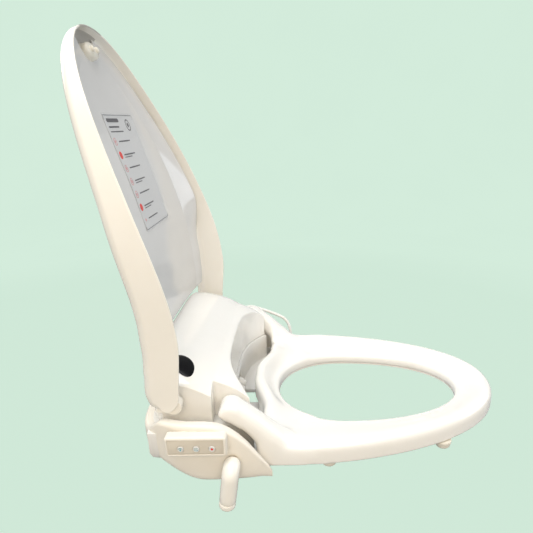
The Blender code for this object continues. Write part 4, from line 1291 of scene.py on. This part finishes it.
def makeTray():  # deck, front wall and the ledge under the cover
    def outline(reach, y0, z):
        tuck = 1 - easeStep(0.0, 40.0, z)
        side = [(193.9 - 26 * tuck, y0), (193.9 - 34 * tuck, 60 - 34 * tuck),
                (170 - 30 * tuck, 64 - 20 * tuck), (130 - 20 * tuck, 65.2 - 10 * tuck)]
        front = [(float(x), frontEdge(x, reach)) for x in np.linspace(149.2, 0, 28)]
        half = side[::-1] + front
        return half + [(-x, y) for x, y in half[-2::-1]]

    levels = [(3.0, 2.0), (3.6, 2.8)] + [(z, 3.0) for z in (8, 16, 25, 33, 41, 54.6)]
    levels += [(56.2, 2.5), (57.1, 1.2), (57.3, -0.5), (57.3, -4.0), (71.6, -4.0)]
    rings = [[(x, y, z) for x, y in outline(reach, -25.8, z)] for z, reach in levels]
    tray = loft("baseTray", rings, trayFinish, smooth=False)
    for side in (-1, 1):
        low, high = sorted((side * 172.7, side * 195))
        cutBox(tray, (low, -36, 62), (high, 6, 90))  # room for the seat's arm
        drill(tray, (side * 70, 0, -2), (0, 0, 1), 8.0, 11)  # fixing bolt
    carve(tray, block("apron", (-189, -99, 3.2), (189, -30, 9.4)), "UNION")
    cutBox(tray, (-20.5, -110, -5), (20.5, 0, 50))  # nozzle mouth
    cutBox(tray, (-146, -22, 8), (146, 58, 80))  # well for the works
    cutBox(tray, (-14.8, 50, 29.2), (14.8, 72, 42.8))  # release button
    drill(tray, (-230, -52, 36), (1, 0, 0), 9.9, 90, 48)  # inlet
    return roundEdges(tray, 0.6, 2)


def makeBaseDetail():  # rear louvres and underside screws
    louvres = joinPieces(*[barRow(darkFinish, 6, (x, 78.9, 24), (0, 0, 5.8), (22, 2.2, 0.5),
                                  (math.pi / 2, 0, math.pi)) for x in (-110, -82, 82, 110)])
    louvres.name = "rearLouvres"
    spots = [(x, y, 3.4) for x in (-150, -60, 60, 150) for y in (-18, 24)]
    return louvres, copyTo("baseScrews", crossHead(3.2), steelFinish, spots)


def podRing(x, grow, radius=5.0):
    ring = []
    y0, y1 = pod["y"][0] - grow, pod["y"][1] + grow
    z0, z1 = pod["z"][0] - grow, pod["z"][1] + grow
    r = max(radius + grow, 0.6)
    for cy, cz, first in ((y1 - r, z1 - r, 0), (y0 + r, z1 - r, 90), (y0 + r, z0 + r, 180),
                          (y1 - r, z0 + r, 270)):
        for k in range(9):
            a = math.radians(first + 90 * k / 8)
            ring.append((x, cy + r * math.cos(a), cz + r * math.sin(a)))
    return ring


def makePod():
    profile = ((-207.0, 0.0), (-208.4, 0.0), (-216.6, 0.0), (-218.6, -0.2), (-219.9, -0.8), (-220.7, -1.7),
               (-221.0, -2.8), (-221.0, -3.6), (-220.7, -3.9), (-220.0, -4.0))
    shell = creaseOver(loft("buttonPod", [podRing(x, grow) for x, grow in profile], baseFinish), 40)
    face = [podRing(x, grow) for x, grow in ((-219.4, -4.1), (-220.35, -4.1), (-220.5, -4.3))]
    panel = loft("podPanel", face, panelFinish)
    for y in pod["buttons"]:
        for piece in (shell, panel):
            drill(piece, (-230, y, pod["buttonZ"]), (1, 0, 0), 4.7, 20, 48)
            drill(piece, (-215, y, pod["buttonZ"]), (1, 0, 0), 3.4, 20)
    return shell, creaseOver(panel, 40)


def makeButton(name, y):
    z = pod["buttonZ"]
    profile = [(0, 4.3), (6.4, 4.3), (7.1, 4.15), (7.55, 3.75), (7.75, 3.3), (7.6, 3.0), (7.45, 2.6),
               (7.4, 1.0), (7.4, 0.1)]
    cap = lathe(name, (-213.9, y, z), (-1, 0, 0), profile, buttonFinish, 56)
    stem = lathe("stem", (-214.3, y, z), (1, 0, 0), [(0, 2.8), (18.2, 2.8), (18.4, 2.4)], buttonFinish, 24)
    return joinPieces(cap, stem)


def faceMark(name, y, shapes, finish):  # a flat sign standing on a button's face
    points, faces = [], []
    for outline in shapes:
        base, n = len(points), len(outline)
        for x in (-221.25, -221.42):
            points += [(x, y + u, pod["buttonZ"] + v) for u, v in outline]
        faces += [(base + i, base + (i + 1) % n, base + n + (i + 1) % n, base + n + i) for i in range(n)]
        faces += [tuple(base + i for i in range(n))[::-1], tuple(base + n + i for i in range(n))]
    return makePiece(name, points, faces, finish, smooth=False, weld=0.000001)


def roundShape(cx, cy, r, sides=24):
    return [(cx + r * math.cos(t), cy + r * math.sin(t)) for t in turnsRound(sides)]


def arcShape(cx, cy, r, wide, low, high):
    turns = [math.radians(t) for t in np.linspace(low, high, 14)]
    outer = [(cx + r * math.cos(t), cy + r * math.sin(t)) for t in turns]
    return outer + [(cx + (r - wide) * math.cos(t), cy + (r - wide) * math.sin(t)) for t in turns[::-1]]


def makeElbow():
    y, z, lean, bend = -52.0, 36.0, math.radians(8.0), 11.0
    aside, down = Vector((-1, 0, 0)), Vector((0, math.sin(lean), -math.cos(lean)))
    start = Vector((-213.2, y, z))
    stations = [(start - aside * 4.5, aside, 10.4), (start - aside * 3.7, aside, 11.1), (start, aside, 11.3)]
    for k in range(1, 15):
        a = math.pi / 2 * k / 14
        spot = start + aside * (bend * math.sin(a)) + down * (bend * (1 - math.cos(a)))
        stations.append((spot, aside * math.cos(a) + down * math.sin(a), 11.3))
    end = stations[-1][0]
    for along, radius in ((6, 11.3), (18, 11.25), (30, 11.15), (35.6, 11.05), (36.4, 10.8), (36.8, 10.2),
                          (37.3, 10.0), (38.2, 10.0), (38.7, 10.2), (39.1, 10.8), (39.8, 11.05),
                          (43.5, 10.95), (45.3, 10.6), (46.7, 9.7), (47.2, 8.6), (47.1, 7.0), (46.2, 6.5),
                          (30.0, 6.4)):
        stations.append((end + down * along, down, radius))
    across = aside.cross(down).normalized()
    rings = []
    for spot, facing, radius in stations:
        other = across.cross(facing).normalized()
        rings.append([spot + across * (radius * math.cos(t)) + other * (radius * math.sin(t))
                      for t in turnsRound(56)])
    elbow = loft("inletElbow", rings, shellFinish)
    drill(elbow, (-205, y, z), aside, 5.9, 16.6, 40)  # bore
    drill(elbow, (-205, y, z), aside, 7.7, 8.6, 40)  # socket for the spigot
    elbow.data.shade_smooth()
    return creaseOver(elbow, 48)


nozzleTilt = math.radians(30)


def alongNozzle(distance, x=0.0, lift=0.0):
    c, s = math.cos(nozzleTilt), math.sin(nozzleTilt)
    return Vector((x, -47.0 + distance * c - lift * s, 26.0 + distance * s + lift * c))


def makeNozzle(name, x):
    tip = alongNozzle(0, x)
    ahead = alongNozzle(1, x) - tip
    profile = [(0.15, 1.0), (0.0, 3.4), (0.35, 4.9), (1.4, 6.4), (3.2, 7.25), (5, 7.5), (14.5, 7.5),
               (15.6, 7.3), (16.0, 6.9), (97.8, 6.9), (98.0, 7.5), (103.4, 7.5), (104, 7.0)]
    tube = lathe(name, tip, ahead, profile, nozzleFinish, 48)
    for place, radius in ((7.0, 1.0), (10.4, 0.7), (12.4, 0.7)):
        at = alongNozzle(place, x, 5.4)
        drill(tube, at, alongNozzle(place, x, 9) - at, radius, 5, 20)  # spray hole
    tube.data.shade_smooth()
    return creaseOver(tube, 45)


def makeCassette():
    body = block("deodoriserCassette", (169.2, 24.8, 20.8), (204.4, 61.2, 35.2), greyFinish)
    roundEdges(body, 0.8, 3)
    fins = barRow(darkFinish, 5, (204.3, 43.0, 23.2), (0, 0, 2.4), (28, 1.1, 0.5),
                  (math.pi / 2, 0, math.pi / 2))
    return joinPieces(body, fins)


def makeLatch():
    body = block("releaseButton", (-13.8, 66.8, 30.2), (13.8, 83.3, 41.8), greyFinish)
    roundEdges(body, 1.6, 4)
    grip = barRow(greyFinish, 5, (-6, 83.2, 36), (3, 0, 0), (7.5, 1.1, 0.5),
                  (math.pi / 2, math.pi / 2, math.pi))
    return joinPieces(body, grip)


def makeBolt(name, x):
    core = lathe(name, (x, 0, -62), (0, 0, 1), [(0, 1.9), (0.8, 2.5), (64.9, 2.5), (65, 6.3), (67.4, 6.5),
                                                (68.3, 6.0), (68.8, 5.0)], steelFinish, 32)
    thread = growPiece("thread", boltThread, {"Turns": 38.0, "Radius": 0.0026, "Rise": 0.0475,
                                              "Tooth": 0.00062, "Start": (x * mm, 0, -0.061),
                                              "Finish": steelFinish})
    return joinPieces(core, thread)


def makeNut(name, x):  # a collared nut with twelve grip ribs
    profile = [(0, 13.4), (0.8, 14.4), (5, 14.6), (6.2, 13.2), (8, 11), (20.6, 8.6), (22, 7.6)]
    nut = lathe(name, (x, 0, -30), (0, 0, 1), profile, darkFinish, 56)
    drill(nut, (x, 0, -40), (0, 0, 1), 3.3, 50)
    ribs = []
    inPlace = Matrix.Translation(Vector((-10.1, 0, 0)) * mm) @ Matrix.Rotation(0.16, 4, "Y")
    for t in turnsRound(12):
        rib = block("rib", (-0.75, -0.9, -10.4), (0.75, 0.9, 10.4), darkFinish)
        middle = Matrix.Translation(Vector((x, 0, -17)) * mm)
        rib.data.transform(middle @ Matrix.Rotation(t, 4, "Z") @ inPlace)
        ribs.append(rib)
    return joinPieces(nut, *ribs)


keepOn(makeCover(), "housing", "shell_white", "top_cover")
keepOn(makeWindow(), "housing", "window_black", "sensor_window")
keepOn(makeWings(), "housing", "base_white", "base_shell")
keepOn(makeTray(), "housing", "base_white")
for detail in makeBaseDetail():
    keepOn(detail, "housing", "dark_plastic")
print("base and cover done")

podPiece, podPanel = makePod()
keepOn(podPiece, "housing", "shell_white", "button_pod")
keepOn(podPanel, "housing", "shell_white")
signs = {"wash": ([roundShape(0, -1.3, 1.1), arcShape(0, -1.0, 3.1, 0.75, 35, 145), roundShape(0, 0.9, 0.6)],
                  tealInk),
         "bidet": ([arcShape(0, 0.4, 2.9, 0.75, 205, 335), roundShape(-1.1, 1.0, 0.7),
                    roundShape(1.1, 1.0, 0.7)], tealInk),
         "stop": ([roundShape(0, 0, 1.6)], redInk)}
for (word, (shapes, ink)), y in zip(signs.items(), pod["buttons"]):
    keepOn(makeButton(word + "Button", y), word + "_button", "cap_grey", "button_" + word)
    keepOn(faceMark(word + "Sign", y, shapes, ink), word + "_button", "cap_grey")
keepOn(makeElbow(), "elbow", "shell_white", "inlet_elbow")
keepOn(makeNozzle("washNozzle", -11.0), "wash_nozzle", "shell_white", "nozzle_wash")
keepOn(makeNozzle("bidetNozzle", 11.0), "bidet_nozzle", "shell_white", "nozzle_bidet")
keepOn(makeCassette(), "cassette", "cap_grey", "deodoriser_cassette")
keepOn(makeLatch(), "latch", "cap_grey", "release_button")
for tag, x in (("near", -70.0), ("far", 70.0)):
    keepOn(makeBolt("fixingBolt" + tag.capitalize(), x), "housing", "steel", "fixing_bolt_" + tag)
    keepOn(makeNut("fixingNut" + tag.capitalize(), x), "housing", "dark_plastic", "fixing_nut_" + tag)
print("controls, nozzles and fixings done")


# CAD nodes that stay get a finish of their own

keptNodes = {"seat_pin_near": steelAcross, "seat_pin_far": steelAcross, "lid_damper_near": darkFinish,
             "lid_damper_far": darkFinish, "nozzle_guide": greyFinish, "nozzle_motor": darkFinish,
             "heater_tank": bossFinish, "tank_cap": brassFinish, "circuit_board": boardFinish,
             "board_blocks": darkFinish, "valve_block": brassFinish, "pump": steelAcross,
             "dryer_fan": darkFinish, "mounting_plate": nozzleFinish, "inlet_spigot": brassFinish,
             "lid_pivot_near": shellFinish, "lid_pivot_far": shellFinish}
for node, finish in keptNodes.items():
    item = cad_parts[node]
    if item.material_slots:
        for place in item.material_slots:
            place.material = finish
    else:
        item.data.materials.append(finish)


# Stage: pale floor that curves up behind, soft lights

studio = {"floorZ": -62.2, "tint": (0.66, 0.84, 0.715), "white": (0.80, 0.80, 0.79), "glow": 0.12,
          "near": 5.3, "fade": (0.55, 1.9)}


def stageFinish(name, colour, glow):
    # lit like a floor near the object, even and self-lit far from it
    made, tree, shader, place = newFinish(name)
    grain = noise(tree, place, 3.0, 2.0)
    dim = tuple(c * 0.99 for c in colour)
    feed(tree, shader, {"Base Color": blendColours(tree, grain, colour, dim), "Roughness": 0.9,
                        "Specular IOR Level": 0.0, "Emission Color": blendColours(tree, grain, dim, colour)})
    if glow:
        reach = addNode(tree, "ShaderNodeVectorMath", {0: place}, operation="LENGTH").outputs["Value"]
        low, high = studio["fade"]
        away = addNode(tree, "ShaderNodeMapRange", {"Value": reach, "From Min": low, "From Max": high},
                       interpolation_type="SMOOTHSTEP").outputs["Result"]
        rise = addNode(tree, "ShaderNodeMapRange", {"Value": away, "From Min": 0.3, "From Max": 0.7,
                                                    "To Min": glow * studio["near"]}).outputs["Result"]
        weak = tuple(c * (1 - glow) for c in colour)
        feed(tree, shader, {"Base Color": blendColours(tree, away, weak, (0, 0, 0)),
                            "Emission Strength": rise})
    return made


def makeStage(name, finish):
    section = [(-6000, 0), (1500, 0)]
    for k in range(1, 13):
        a = math.pi / 2 * k / 12
        section.append((1500 + 900 * math.sin(a), 900 * (1 - math.cos(a))))
    section.append((2400, 6500))
    points = []
    for y in (-9000, 9000):
        points += [(x, y, studio["floorZ"] + z) for x, z in section]
    n = len(section)
    faces = [(i, i + 1, n + i + 1, n + i) for i in range(n - 1)]
    floor = makePiece(name, points, faces, finish)
    return floor


tinted = makeStage("floorTint", stageFinish("floorMint", studio["tint"], studio["glow"]))
plain = makeStage("floorPlain", stageFinish("floorWhite", studio["white"], 0.0))
tinted.visible_diffuse = tinted.visible_glossy = False
plain.visible_camera = False


# each light: place, the point it faces, size, power and colour
lights = {"topLight": ((-0.35, 0.35, 2.5), (0, -0.15, 0), (1.7, 1.7), 53, (0.97, 0.985, 1.0)),
          "warmSide": ((-2.2, -0.3, 1.35), (0, -0.1, 0.15), (2.2, 1.4), 31, (1.0, 0.82, 0.60)),
          "coolFront": ((0.3, -2.8, 0.9), (0, 0, 0.1), (2.0, 1.4), 19, (0.82, 0.90, 1.0)),
          "rearRim": ((1.6, 1.9, 1.5), (0, 0, 0.3), (1.6, 1.2), 12, (1.0, 0.95, 0.88))}
skyLight = {"Color": (0.93, 0.95, 0.95, 1), "Strength": 0.5}


def addLight(name, place, aim, size, power, colour):
    data = bpy.data.lights.new(name, "AREA")
    data.shape = "RECTANGLE"
    data.size, data.size_y = size
    data.energy = power
    data.color = colour
    lamp = addToScene(bpy.data.objects.new(name, data))
    lamp.location = place
    lamp.rotation_euler = (Vector(aim) - Vector(place)).to_track_quat("-Z", "Y").to_euler()


def makeSky():
    world = bpy.data.worlds.new("softRoom")
    world.use_nodes = True
    feed(world.node_tree, world.node_tree.nodes["Background"], skyLight)
    bpy.context.scene.world = world


for name, values in lights.items():
    addLight(name, *values)
makeSky()
bpy.context.scene.view_settings.view_transform = "Standard"
print("stage and lights done")
